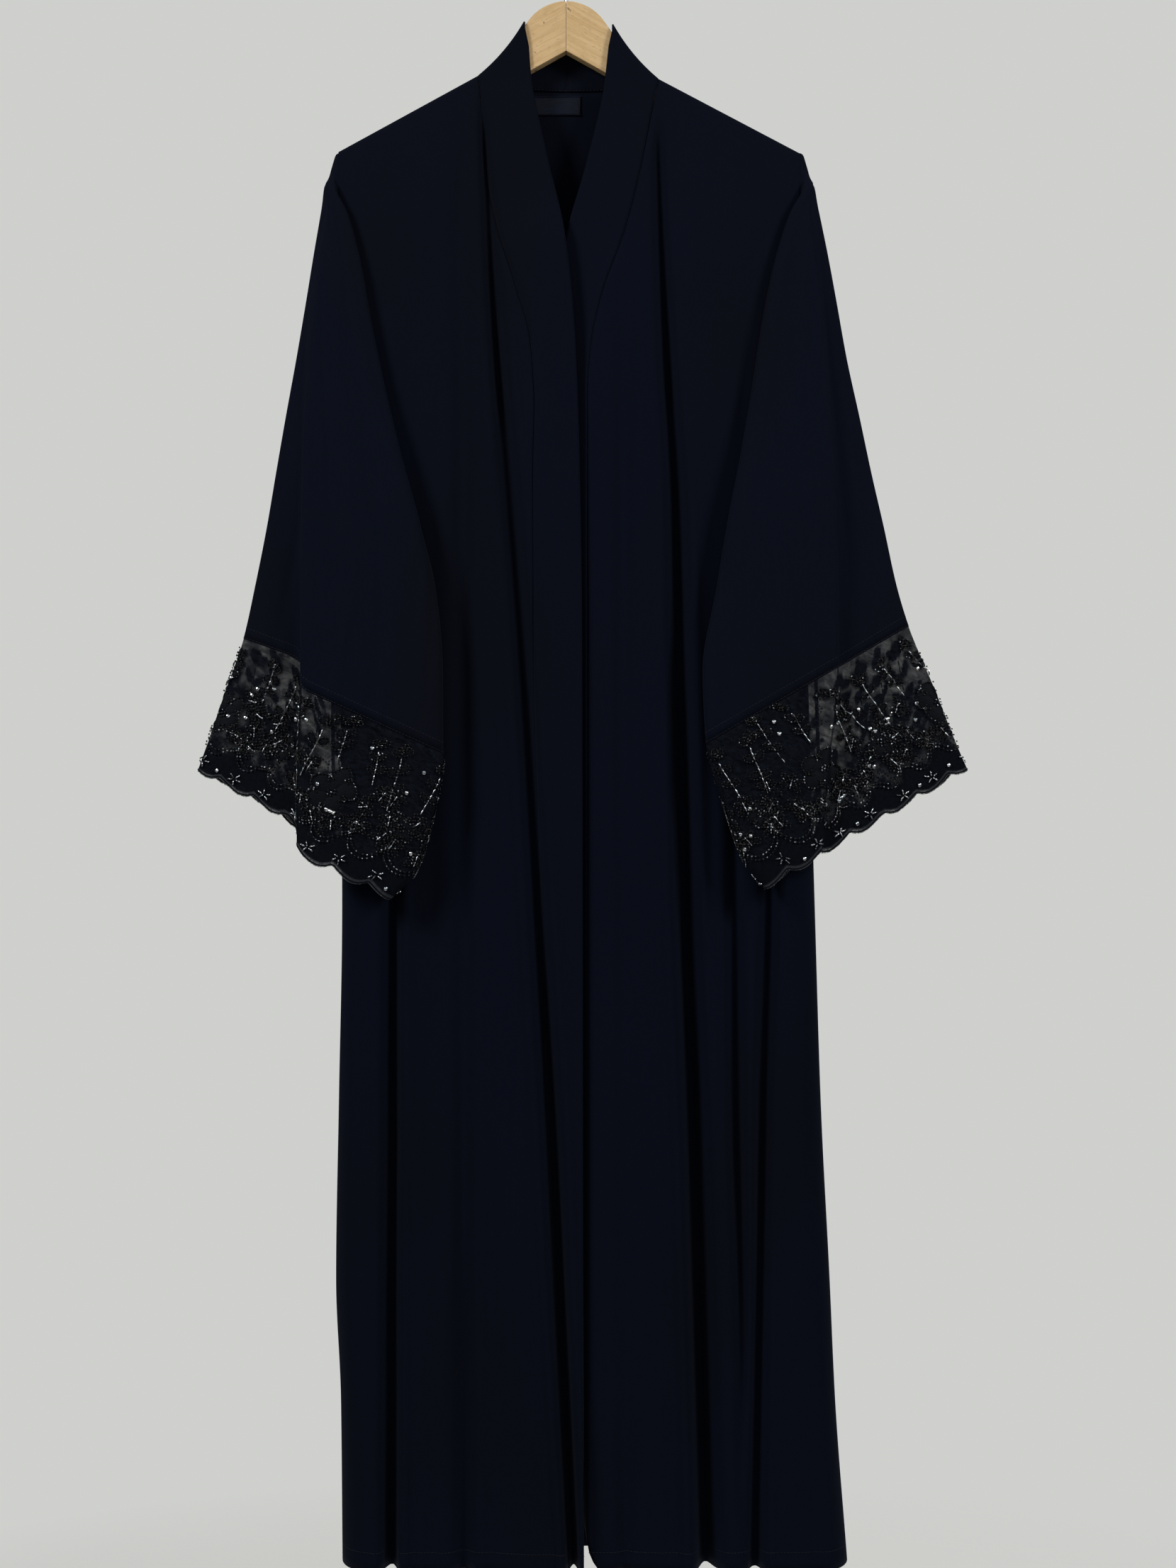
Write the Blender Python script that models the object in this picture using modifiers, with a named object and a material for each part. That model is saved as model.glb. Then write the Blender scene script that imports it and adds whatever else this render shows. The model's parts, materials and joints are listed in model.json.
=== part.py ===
"""An open-front abaya cloak with lace cuffs, hanging on a flat wooden hanger.

Frame: +Z is up and the front of the cloak faces -Y. The origin is the point of the hook's inner
curve that hangs on a rail. Named sizes and tables are in millimetres, and heights are negative,
because everything hangs below the origin. Left is the -X side, as seen from the front.
Each cloth piece is a grid of points, one row for each section, made into a wall by Solidify.
"""

import math

import bmesh
import bpy
import numpy as np

MM = 0.001

# Walls and seams
CLOTH = 1.2
BAND_CLOTH = 1.6
LACE = 1.0
LABEL_THICKNESS = 0.8
SEAM_GAP = 0.3
# The band's seam lies down in a fold below this height, where the two walls need more room.
FOLD_SEAM_GAP = 1.6
FOLD_SEAM_FROM = -560.0
CUFF_GAP = 0.7
# Width of the first and last column of a panel
EDGE_COLUMN = 2.0

# Lengths of the cloak
HEM_Z = -1487.0
UNDERARM_Z = -462.0
BAND_FROM_Z = -425.0
BAND_WIDTHS = {"z": (-425, -500, -620, HEM_Z), "width": (39.5, 43.0, 44.5, 44.5)}

# Each side: shoulder seam from the neck end to the armhole end, and the band's top at the neck.
SIDES = {
    "left": {
        "sign": -1,
        "neck": (-80.0, -130.0),
        "corner": (-208.0, -200.0),
        "tip": (-38.0, -80.5),
        "armhole": -208.0,
    },
    "right": {
        "sign": 1,
        "neck": (84.0, -133.0),
        "corner": (214.0, -201.5),
        "tip": (42.5, -83.0),
        "armhole": 214.0,
    },
}
TIP_SAG = 3.0

# Where the side seams run below the underarm.
SIDE_SEAMS = {
    "z": (UNDERARM_Z, -700, -890, -1070, -1230, -1340, HEM_Z),
    "left": (-208.0, -206.5, -205.0, -208.0, -210.5, -206.0, -204.5),
    "right": (214.0, 222.0, 227.5, 233.0, 241.0, 246.0, 257.0),
}
# Half of the armhole's open slit, front edge to back edge.
ARMHOLE_SLIT = {
    "z": (-200, -215, -260, -330, -390, -430, UNDERARM_Z),
    "half": (7.8, 8.2, 10.0, 12.0, 11.0, 7.0, 0.8),
}
ARMHOLE_INSET = 0.5
SIDE_ROUND = 26.0
SIDE_ROUND_FROM = 60.0

# How far the front and back stand from the hanger's mid-plane, by distance below the shoulder.
HANGER_CLEAR = 7.8
DEPTHS = {
    "below": (0, 40, 150, 300, 600, 1000, 1400),
    "front": (0.0, 2.5, 7.0, 11.0, 17.0, 23.0, 29.0),
    "back": (0.0, 1.5, 4.0, 7.0, 12.0, 17.0, 22.0),
}
OVERLAP_LIFT = 5.0

# The fronts turn over the hanger's arms to the shoulder seam, which lies along its back edge.
TURN_ROWS = {"drop": (3.4, 0.3, 0.0, 0.3, 3.4), "y": (7.7, 5.4, 0.0, -5.4, -7.7)}
# Rows of the body below that: heights at the side, at the band seam and at the free edge.
BODY_ROWS = {
    "side": (-214, -232, -270, -320, -385, -425),
    "seam": (-146, -165, -215, -285, -370, -425),
    "edge": (-104, -138, -200, -278, -370, -425),
}
LEVEL_ROWS = (UNDERARM_Z, -540, -640, -770, -900, -990, -1080, -1240, -1390, -1458, HEM_Z)

# The left band's inner edge is the free edge of the cloak, on top where the fronts overlap.
LEFT_EDGE = {
    "z": (-104, -130, -197, -279, -371, -499, -644, HEM_Z),
    "x": (-34.0, -32.0, -19.0, -0.7, 8.3, 12.8, 14.8, 16.0),
}
LEFT_SEAM = {
    "z": (-133, -165, -224, -270, -325, -375, BAND_FROM_Z),
    "x": (-80.0, -77.0, -72.0, -62.5, -46.0, -32.5, -29.0),
}
RIGHT_SEAM = {
    "z": (-136, -165, -215, -270, -334, -380, -425, -1452, -1472, HEM_Z),
    "x": (84.0, 78.0, 68.3, 54.5, 32.0, 22.5, 19.5, 19.5, 22.0, 31.0),
}
# The right band's inner edge passes under the left band and swings back into the cloak.
RIGHT_EDGE = {
    "z": (-104, -141, -215, -271, -310, -370, -425, -520, -700, -885, -1070, -1250, -1462, HEM_Z),
    "x": (38.8, 34.5, 17.6, 1.3, -7.0, -18.0, -21.5, -21.0, -15.0, -8.0, 0.0, 8.0, 17.0, 30.0),
    "y": (-8.9, -9.5, -11.5, -12.0, -11.5, -9.0, -6.0, -2.0, 5.0, 8.0, 10.0, 10.5, 9.0, 8.0),
}

# Fold lines: x, depth and half-width of each trough at the heights in FOLD_Z.
FOLD_Z = (-200, -380, -520, -700, -885, -1070, -1250, HEM_Z)
FRONT_FOLDS = {
    "left_of_band": {
        "x": (-71, -62, -50, -36.5, -25.5, -14, -5, 7),
        "depth": (2, 7, 9, 11, 13, 17, 20, 24),
        "half": (10, 10, 11, 11, 11, 11, 10, 8),
    },
    "left_soft": {
        "x": (-97, -95, -94, -94, -93, -92, -92, -92),
        "depth": (1, 4, 4.5, 4.5, 4, 5, 6.5, 8),
        "half": (14, 14, 14, 14, 14, 13, 13, 13),
    },
    "left_side": {
        "x": (-158, -158, -158, -158, -157, -157, -158, -158),
        "depth": (0, 0, 0, 5, 12, 14, 16, 19),
        "half": (10, 10, 10, 10, 10, 10, 10, 10),
    },
    "right_soft": {
        "x": (52, 52, 52, 52, 53, 54, 54, 55),
        "depth": (0, 2, 3.5, 3, 2, 2, 2.5, 3.5),
        "half": (12, 12, 12, 12, 12, 12, 12, 12),
    },
    "right_deep": {
        "x": (83, 91, 99.5, 103.5, 107, 114.5, 120, 127),
        "depth": (3, 9, 13, 17, 20, 22, 24, 26),
        "half": (9, 10, 11, 12, 12, 12, 12, 12),
    },
    "right_inner": {
        "x": (152, 152, 152, 152, 152.5, 154, 159, 160),
        "depth": (0, 0, 0, 3, 8, 10, 8, 2),
        "half": (10, 10, 10, 10, 10, 10, 9, 7),
    },
    "right_side": {
        "x": (186, 186, 186, 186, 184, 178, 175, 171),
        "depth": (0, 0, 0, 3, 9, 10, 12, 15),
        "half": (10, 10, 10, 10, 10, 9.5, 9.5, 10),
    },
}
BACK_FOLDS = {
    "back_1": {
        "x": (-150, -152, -154, -156, -158, -160, -160, -160),
        "depth": (0, 2, 4, 6, 8, 10, 12, 14),
        "half": (12, 12, 12, 12, 12, 12, 12, 12),
    },
    "back_2": {
        "x": (-88, -92, -95, -98, -101, -104, -106, -108),
        "depth": (0, 3, 5, 7, 9, 10, 11, 13),
        "half": (13, 13, 13, 13, 13, 13, 13, 13),
    },
    "back_3": {
        "x": (-42, -43, -45, -47, -50, -53, -56, -60),
        "depth": (0, 1, 2, 3, 5, 7, 9, 11),
        "half": (14, 14, 14, 14, 14, 14, 14, 14),
    },
    "back_4": {
        "x": (46, 49, 53, 57, 61, 65, 69, 74),
        "depth": (0, 2, 4, 6, 8, 9, 11, 13),
        "half": (14, 14, 14, 14, 14, 14, 14, 14),
    },
    "back_5": {
        "x": (104, 108, 112, 116, 120, 125, 130, 136),
        "depth": (0, 3, 5, 7, 9, 11, 12, 14),
        "half": (12, 12, 12, 12, 12, 12, 12, 12),
    },
    "back_6": {
        "x": (160, 164, 168, 174, 180, 186, 192, 198),
        "depth": (0, 1, 3, 5, 7, 9, 10, 12),
        "half": (12, 12, 12, 12, 12, 12, 12, 12),
    },
}
FOLD_FADE = 70.0
LIP_RISE = 0.16

# Columns across each piece
FRONT_COLUMNS = 28
BAND_COLUMNS = 8
BACK_COLUMNS = {"side": 12, "neck": 18}
CUFF_SPACING = 5.8

# The neck seam across the back, which the band's lower edge follows.
NECK_SEAM = {
    "x": (-80.0, -62.0, -32.0, 0.0, 32.0, 64.0, 84.0),
    "y": (7.7, 8.4, 9.0, 9.0, 9.0, 8.4, 7.7),
    "z": (-133.4, -137.0, -140.0, -141.0, -140.5, -138.8, -136.4),
}
BACK_BAND_TOP = {"x": (30.0, 16.0, 0.0), "y": (8.8, 9.2, 9.2), "z": (-84.0, -84.0, -84.0)}

# Sleeves: a flattened tube that starts at the armhole and lies in front of the body. Columns are
# the heights at the inner and outer fold, their x, the crease's x, the room at the inner fold,
# the crease's depth, the outer fold's y, and how far the crease slips the hem out of line.
SLEEVE_COLUMNS = ("z_in", "z_out", "x_in", "x_lip", "x_out", "room", "step", "y_out", "slip")
SLEEVE_ROWS = {
    "left": (
        (-258, -252, -199.0, -215.0, -223.5, 4.0, 1.0, -7, 0.0),
        (-305, -294, -186.0, -221.0, -230.5, 5.0, 2.0, -8, 0.0),
        (-355, -338, -177.0, -228.0, -237.5, 6.0, 4.0, -9, 0.0),
        (-415, -390, -164.5, -233.0, -246.0, 7.5, 6.0, -11, 0.0),
        (-479, -444, -149.0, -236.5, -255.5, 9.0, 8.0, -13, 0.0),
        (-540, -495, -132.0, -238.0, -264.0, 10.5, 10.0, -15, 0.25),
        (-605, -545, -116.5, -238.5, -272.0, 12.0, 11.0, -18, 0.5),
        (-675, -597, -110.5, -238.5, -282.0, 13.0, 12.0, -20, 0.75),
        (-751, -646, -110.0, -239.0, -292.5, 14.0, 13.0, -22, 1.0),
    ),
    "right": (
        (-258, -252, 204.0, 221.0, 230.5, 4.0, 1.0, -7, 0.0),
        (-305, -294, 189.0, 225.0, 239.0, 5.0, 3.0, -8, 0.0),
        (-355, -338, 178.5, 231.0, 247.0, 6.0, 4.5, -9, 0.0),
        (-415, -390, 169.0, 236.0, 256.0, 7.5, 6.0, -11, 0.0),
        (-479, -444, 158.0, 239.0, 267.5, 9.0, 7.0, -13, 0.0),
        (-540, -495, 146.0, 242.0, 278.0, 10.5, 8.0, -15, 0.0),
        (-605, -545, 135.0, 244.0, 289.0, 12.0, 8.0, -18, 0.0),
        (-675, -597, 123.0, 245.0, 300.0, 13.0, 8.0, -20, 0.0),
        (-742, -635, 126.0, 245.0, 311.0, 14.0, 8.0, -22, 0.0),
    ),
}
# Cuffs: the same columns, for the sections below the sleeve's hem.
CUFF_ROWS = {
    "left": (
        (-807, -694, -119.0, -240.0, -309.0, 15.5, 12.0, -23, 1.0),
        (-856, -741, -134.0, -241.0, -325.0, 17.0, 11.0, -25, 1.0),
        (-880, -765, -156.0, -241.0, -333.5, 18.0, 10.0, -26, 1.0),
    ),
    "right": (
        (-794, -686, 141.0, 239.0, 332.0, 15.5, 8.0, -23, 0.0),
        (-848, -738, 160.0, 232.0, 353.0, 17.0, 8.0, -25, 0.0),
        (-871, -763, 177.0, 229.0, 364.0, 18.0, 8.0, -26, 0.0),
    ),
}
# Rows above the fold: how far each reaches out of the armhole, how far it has turned into the
# folded section below it, and the heights of its inner and outer points.
SLEEVE_TOP_ROWS = (
    (0.0, 0.0, -207.8, -200.0),
    (2.6, 0.0, -209.4, -201.4),
    (5.6, 0.12, -216.5, -209.5),
    (9.2, 0.45, -227.5, -221.5),
    (12.4, 1.0, -239.0, -234.0),
)
# The shape that those rows turn into, by column round the sleeve: how far each point stands out
# and forward, and where it lies between the front edge of the armhole and the back edge.
SLEEVE_START = {
    "column": (0, 1, 2, 4, 7, 8, 9, 10, 14, 20, 22, 27),
    "out": (0.0, 1.2, 1.9, 1.7, 0.9, 1.0, 1.9, 3.5, 9.0, 12.4, 11.0, 0.0),
    "forward": (0.0, 0.0, 0.6, 2.4, 5.0, 5.9, 6.6, 6.8, 5.9, 3.5, 0.5, 0.0),
    "across": (0.0, 0.0, 0.0, 0.0, 0.0, 0.0, 0.0, 0.0, 0.0, 0.15, 0.5, 1.0),
}
# The last row that still meets the armhole; below it the sleeve's own seam closes the tube.
SLEEVE_UNDERARM_ROW = 4
SLEEVE_ACROSS = 28
# How far the layer in sight swells, as a share of the room behind it
VISIBLE_BELLY = 0.18
# How far the crease slips the hem down on its front lip and up behind it
SLIP_DOWN = 3.5
SLIP_UP = 3.0
# The under layer stands off the front panel, further off below the underarm.
LAYER_GAP = 3.6
STAND_OFF = 5.0
STAND_OFF_FROM = -400.0
# How far the under layer swings out past its seam before it turns back in
TURN_REACH = 3.2
SCALLOP_PITCH = 35.0
SCALLOP_DEPTH = 7.5
SCALLOP_MEAN = 0.6

# Label under the back neck seam
LABEL_X = (-36.0, 13.0)
LABEL_Z = (-145.5, -162.0)
LABEL_POINTS = (5, 3)
LABEL_CLEAR = 0.1

# Hanger
WOOD_HALF_THICKNESS = 6.0
WOOD_ROUND = 1.6
HUMP_RADIUS = 42.5
HUMP_TOP_Z = -62.0
HUMP_SWEEP = 56.0
NECK_SLOPE = 1.48
ARM_START = (84.0, -135.5)
ARM_SLOPE = 0.545
ARM_DEPTH = 20.0
ARM_END_X = 203.0
# Points either side of the corner where the hump's slope meets the arm
NECK_CORNER = (4.95, 1.65, -1.65, -4.95)
NOTCH_Z = -107.5
WIRE_RADIUS = 1.75
HOOK_RADIUS = 19.75
STEM_TOP_Z = -44.0
STEM_BOTTOM_Z = -86.0
STEM_CLEARANCE = 0.3

COLOURS = {
    "crepe": ((0.010, 0.012, 0.018, 1.0), 0.85, 0.0),
    "lace": ((0.020, 0.020, 0.024, 1.0), 0.7, 0.0),
    "label": ((0.016, 0.020, 0.034, 1.0), 0.6, 0.0),
    "wood": ((0.62, 0.47, 0.28, 1.0), 0.5, 0.0),
    "steel": ((0.25, 0.25, 0.26, 1.0), 0.3, 1.0),
}


# ---------------------------------------------------------------- tables


def curve_through(position, knots, values):
    """A smooth curve through a table's points that never overshoots them; knots ascend."""
    knots = np.asarray(knots, float)
    values = np.asarray(values, float)
    widths = np.diff(knots)
    slopes = np.diff(values) / widths
    tangents = np.zeros(len(knots))
    tangents[0] = slopes[0]
    tangents[-1] = slopes[-1]
    for i in range(1, len(knots) - 1):
        if slopes[i - 1] * slopes[i] > 0:
            before = 2 * widths[i] + widths[i - 1]
            after = widths[i] + 2 * widths[i - 1]
            tangents[i] = (before + after) / (before / slopes[i - 1] + after / slopes[i])
    position = np.clip(np.asarray(position, float), knots[0], knots[-1])
    i = np.clip(np.searchsorted(knots, position) - 1, 0, len(knots) - 2)
    t = (position - knots[i]) / widths[i]
    start = values[i] * (1 + 2 * t) * (1 - t) ** 2 + tangents[i] * widths[i] * t * (1 - t) ** 2
    end = values[i + 1] * t * t * (3 - 2 * t) + tangents[i + 1] * widths[i] * t * t * (t - 1)
    return start + end


def at_height(z, table, name):
    """A column of a table whose heights run downwards."""
    return curve_through(-np.asarray(z, float), [-h for h in table["z"]], table[name])


def ease(t):
    t = np.clip(t, 0.0, 1.0)
    return t * t * (3 - 2 * t)


# ---------------------------------------------------------------- the body's surface


def shoulder_z(side, x):
    """Height of the shoulder seam over x, carried on level inside the neck end."""
    neck_x, neck_z = SIDES[side]["neck"]
    end_x, end_z = SIDES[side]["corner"]
    t = np.clip((np.asarray(x, float) - neck_x) / (end_x - neck_x), 0.0, 1.0)
    return neck_z + (end_z - neck_z) * t


def side_x(side, z):
    above = SIDES[side]["armhole"] - SIDES[side]["sign"] * ARMHOLE_INSET
    return np.where(np.asarray(z) >= UNDERARM_Z, above, at_height(z, SIDE_SEAMS, side))


def slit_half(z):
    """Half the space between front and back at the side: the armhole, and a seam below it."""
    closing = SEAM_GAP / 2 + SEAM_GAP * (1 - ease((UNDERARM_Z - z) / 180))
    return np.where(np.asarray(z) >= UNDERARM_Z, at_height(z, ARMHOLE_SLIT, "half"), closing)


def trough(s):
    """Profile of one fold across its half-width: a rounded trough between two low lips."""
    inside = np.where(np.abs(s) < 1, 0.5 + 0.5 * np.cos(np.pi * np.clip(s, -1, 1)), 0.0)
    lips = np.exp(-(((np.abs(s) - 1.35) / 0.4) ** 2))
    return inside - LIP_RISE * lips


def folded(x, z, folds):
    total = np.zeros(np.broadcast(x, z).shape)
    for fold in folds.values():
        table = {"z": FOLD_Z, **fold}
        s = (x - at_height(z, table, "x")) / at_height(z, table, "half")
        total = total + at_height(z, table, "depth") * trough(s)
    return total


def rim(side, x, z):
    """0 at the side edge and 1 where the panel is flat: a soft turn, or a half round lower down."""
    inside = np.clip(np.abs(side_x(side, z) - x) / SIDE_ROUND, 0.0, 1.0)
    soft = np.sin(0.5 * np.pi * inside)
    round_turn = np.sqrt(np.clip(1 - (1 - inside) ** 2, 0.0, 1.0))
    return soft + (round_turn - soft) * ease((UNDERARM_Z - z) / SIDE_ROUND_FROM)


def panel_depth(face, side, x, z):
    below = shoulder_z(side, x) - z
    return HANGER_CLEAR + curve_through(below, DEPTHS["below"], DEPTHS[face])


def front_y(side, x, z):
    below = shoulder_z(side, x) - z
    depth = panel_depth("front", side, x, z)
    half = slit_half(z)
    y = -(half + (depth - half) * rim(side, x, z))
    y = y + folded(x, z, FRONT_FOLDS) * ease(below / FOLD_FADE)
    if side == "left":
        y = y - OVERLAP_LIFT * ease((x + 75) / 45) * ease((-z - 235) / 50)
    return y


def back_y(x, z):
    depth = np.where(x < 0, panel_depth("back", "left", x, z), panel_depth("back", "right", x, z))
    edge = np.where(x < 0, rim("left", x, z), rim("right", x, z))
    half = slit_half(z)
    below = np.where(x < 0, shoulder_z("left", x), shoulder_z("right", x)) - z
    y = half + (depth - half) * edge
    return y - folded(x, z, BACK_FOLDS) * ease(below / FOLD_FADE)


# ---------------------------------------------------------------- paths and grids


def spaced(path, count, start_gap=0.0, end_gap=0.0):
    """Points at even distances along a dense path, with a narrow column at each end."""
    steps = np.linalg.norm(np.diff(path, axis=0), axis=1)
    run = np.concatenate([[0.0], np.cumsum(steps)])
    first = start_gap
    last = run[-1] - end_gap
    inner = np.linspace(first + EDGE_COLUMN, last - EDGE_COLUMN, count - 2)
    stops = np.concatenate([[first], inner, [last]])
    return np.stack([np.interp(stops, run, path[:, k]) for k in range(3)], axis=1)


def ring_spaced(section, count):
    """Points at even distances along a path."""
    steps = np.linalg.norm(np.diff(section, axis=0), axis=1)
    run = np.concatenate([[0.0], np.cumsum(steps)])
    stops = np.linspace(0.0, run[-1], count)
    return np.stack([np.interp(stops, run, section[:, k]) for k in range(3)], axis=1)


def dense_between(start, end):
    """Fractions from 0 to 1, closer together at the start, where a panel turns round its side."""
    t = np.linspace(0.0, 1.0, max(40, int(abs(end - start) / 0.4)))
    return 0.6 * t * t + 0.4 * t


def body_rows(side):
    """Rows below the shoulder turn, as heights at the side, the band seam and the free edge."""
    rows = list(zip(BODY_ROWS["side"], BODY_ROWS["seam"], BODY_ROWS["edge"], strict=True))
    return rows + [(z, z, z) for z in LEVEL_ROWS]


def band_seam_x(side, z):
    """Where the front panel meets the band. Low on the left it follows from the band's width."""
    if side == "right":
        return float(at_height(z, RIGHT_SEAM, "x"))
    if z >= BAND_FROM_Z:
        return float(at_height(z, LEFT_SEAM, "x"))
    edge = float(at_height(z, LEFT_EDGE, "x"))
    x = np.linspace(edge, edge - 70.0, 700)
    y = front_y("left", x, z)
    run = np.concatenate([[0.0], np.cumsum(np.hypot(np.diff(x), np.diff(y)))])
    return float(np.interp(at_height(z, BAND_WIDTHS, "width"), run, x))


def seam_half(z):
    """Half the gap at the band seam, wider where the seam lies down in a fold."""
    return SEAM_GAP / 2 if z > FOLD_SEAM_FROM else FOLD_SEAM_GAP / 2


def turn_row(side, start_x, end_x, drop, y):
    """A straight row on the shoulder, where the panel turns over the hanger's arm."""
    t = np.linspace(0.0, 1.0, 60)
    x = start_x + (end_x - start_x) * t
    return np.stack([x, np.full_like(x, y), shoulder_z(side, x) - drop], axis=1)


def front_panel(side):
    sign = SIDES[side]["sign"]
    neck_x = SIDES[side]["neck"][0]
    rows = []
    for drop, y in zip(TURN_ROWS["drop"], TURN_ROWS["y"], strict=True):
        outer = SIDES[side]["armhole"] - sign * SEAM_GAP
        path = turn_row(side, outer, neck_x, drop, y)
        rows.append(spaced(path, FRONT_COLUMNS, 0.0, SEAM_GAP / 2))
    for z_side, z_seam, _ in body_rows(side):
        start = float(side_x(side, z_side))
        end = band_seam_x(side, z_seam)
        t = dense_between(start, end)
        x = start + (end - start) * t
        z = z_side + (z_seam - z_side) * t
        path = np.stack([x, front_y(side, x, z), z], axis=1)
        rows.append(spaced(path, FRONT_COLUMNS, 0.0, seam_half(z_seam)))
    return np.array(rows)


def sagging(start, end, sag, count, start_gap):
    """A row from the outer seam to the inner edge that sags towards the hanger's neck."""
    start = np.asarray(start, float)
    end = np.asarray(end, float)
    across = end - start
    down = np.array([abs(across[2]) * np.sign(across[0]), 0.0, -abs(across[0])])
    down /= max(np.linalg.norm(down), 1e-6)
    t = np.linspace(0.0, 1.0, 80)[:, None]
    path = start + across * t + down * sag * 4 * t * (1 - t)
    return spaced(path, count, start_gap, 0.0)


def band_front_row(side, z_seam, z_edge):
    seam = band_seam_x(side, z_seam)
    t = np.linspace(0.0, 1.0, 240)
    if side == "left":
        edge = float(at_height(z_edge, LEFT_EDGE, "x"))
        x = seam + (edge - seam) * t
        z = z_seam + (z_edge - z_seam) * t
        path = np.stack([x, front_y(side, x, z), z], axis=1)
        return spaced(path, BAND_COLUMNS, seam_half(z_seam), 0.0)
    end = (at_height(z_edge, RIGHT_EDGE, "x"), at_height(z_edge, RIGHT_EDGE, "y"), z_edge)
    y = float(front_y(side, seam, z_seam))
    back_turn = (end[1] - y) / math.hypot(end[0] - seam, end[1] - y)
    start = (seam - (BAND_CLOTH + CLOTH) / 3 * max(back_turn, 0.0), y, z_seam)
    return sagging(start, end, 0.0, BAND_COLUMNS, SEAM_GAP)


def band_panel(side):
    """One half of the band: up the front edge, over the shoulder and round to the centre back."""
    sign = SIDES[side]["sign"]
    neck = SIDES[side]["neck"]
    tip = SIDES[side]["tip"]
    rows = [band_front_row(side, z_seam, z_edge) for _, z_seam, z_edge in body_rows(side)][::-1]
    for drop, y in list(zip(TURN_ROWS["drop"], TURN_ROWS["y"], strict=True))[::-1]:
        start = (neck[0], y, neck[1] - drop)
        end = (tip[0], y * 1.1, tip[1] - drop)
        rows.append(sagging(start, end, TIP_SAG, BAND_COLUMNS, SEAM_GAP / 2))
    seam = list(zip(NECK_SEAM["x"], NECK_SEAM["y"], NECK_SEAM["z"], strict=True))
    middle = len(seam) // 2
    half = seam[1 : middle + 1] if sign < 0 else seam[middle:-1][::-1]
    tops = [(sign * x, y, z) for x, y, z in zip(*BACK_BAND_TOP.values(), strict=True)]
    for low, high in zip(half, tops, strict=True):
        shift = sign * SEAM_GAP / 2 if low[0] == 0 else 0.0
        start = (low[0] + shift, low[1], low[2])
        end = (high[0] + shift, high[1], high[2])
        rows.append(sagging(start, end, 0.0, BAND_COLUMNS, SEAM_GAP / 2))
    return np.array(rows)


def back_top_row():
    """The back's upper edge: the shoulder seams, with the neck seam between them."""
    drop = TURN_ROWS["drop"][0] + CLOTH / 2 + SEAM_GAP
    parts = []
    for side in SIDES:
        outer = SIDES[side]["armhole"] - SIDES[side]["sign"] * SEAM_GAP
        path = turn_row(side, outer, SIDES[side]["neck"][0], drop, TURN_ROWS["y"][0])
        parts.append(spaced(path, BACK_COLUMNS["side"]))
    x = np.linspace(NECK_SEAM["x"][0], NECK_SEAM["x"][-1], BACK_COLUMNS["neck"] + 2)[1:-1]
    neck_y = curve_through(x, NECK_SEAM["x"], NECK_SEAM["y"])
    neck_z = curve_through(x, NECK_SEAM["x"], NECK_SEAM["z"]) - CLOTH / 2 - SEAM_GAP
    return np.concatenate([parts[0], np.stack([x, neck_y, neck_z], axis=1), parts[1][::-1]])


def back_row(z_side, z_seam):
    """One section of the back, with the same columns at the neck ends as the rows above."""
    left = float(side_x("left", z_side))
    right = float(side_x("right", z_side))
    t = np.linspace(0.0, math.pi, 1600)
    x = (left + right) / 2 - (right - left) / 2 * np.cos(t)
    neck_left = NECK_SEAM["x"][0]
    neck_right = NECK_SEAM["x"][-1]
    reach = np.where(x < 0, (neck_left - x) / (neck_left - left), (x - neck_right) / (right - neck_right))
    z = z_seam + (z_side - z_seam) * np.clip(reach, 0.0, 1.0)
    path = np.stack([x, back_y(x, z), z], axis=1)
    first = int(np.searchsorted(x, neck_left))
    last = int(np.searchsorted(x, neck_right))
    left_part = spaced(path[: first + 1], BACK_COLUMNS["side"])
    middle = ring_spaced(path[first : last + 1], BACK_COLUMNS["neck"] + 2)[1:-1]
    right_part = spaced(path[last:][::-1], BACK_COLUMNS["side"])[::-1]
    return np.concatenate([left_part, middle, right_part])


def back_panel():
    rows = [back_top_row()]
    rows += [back_row(z_side, z_seam) for z_side, z_seam, _ in body_rows("left")]
    return np.array(rows)


# ---------------------------------------------------------------- sleeves and cuffs


def hidden_y(side, x, z):
    """The sleeve's under layer, a little in front of the body's front panel."""
    sign = SIDES[side]["sign"]
    nearest = side_x(side, z) - sign * 8.0
    inside = np.where(sign * x > sign * nearest, nearest, x)
    half = slit_half(z)
    bare = -(half + (panel_depth("front", side, inside, z) - half) * rim(side, inside, z))
    return bare - LAYER_GAP - STAND_OFF * ease((STAND_OFF_FROM - z) / 150)


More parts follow.
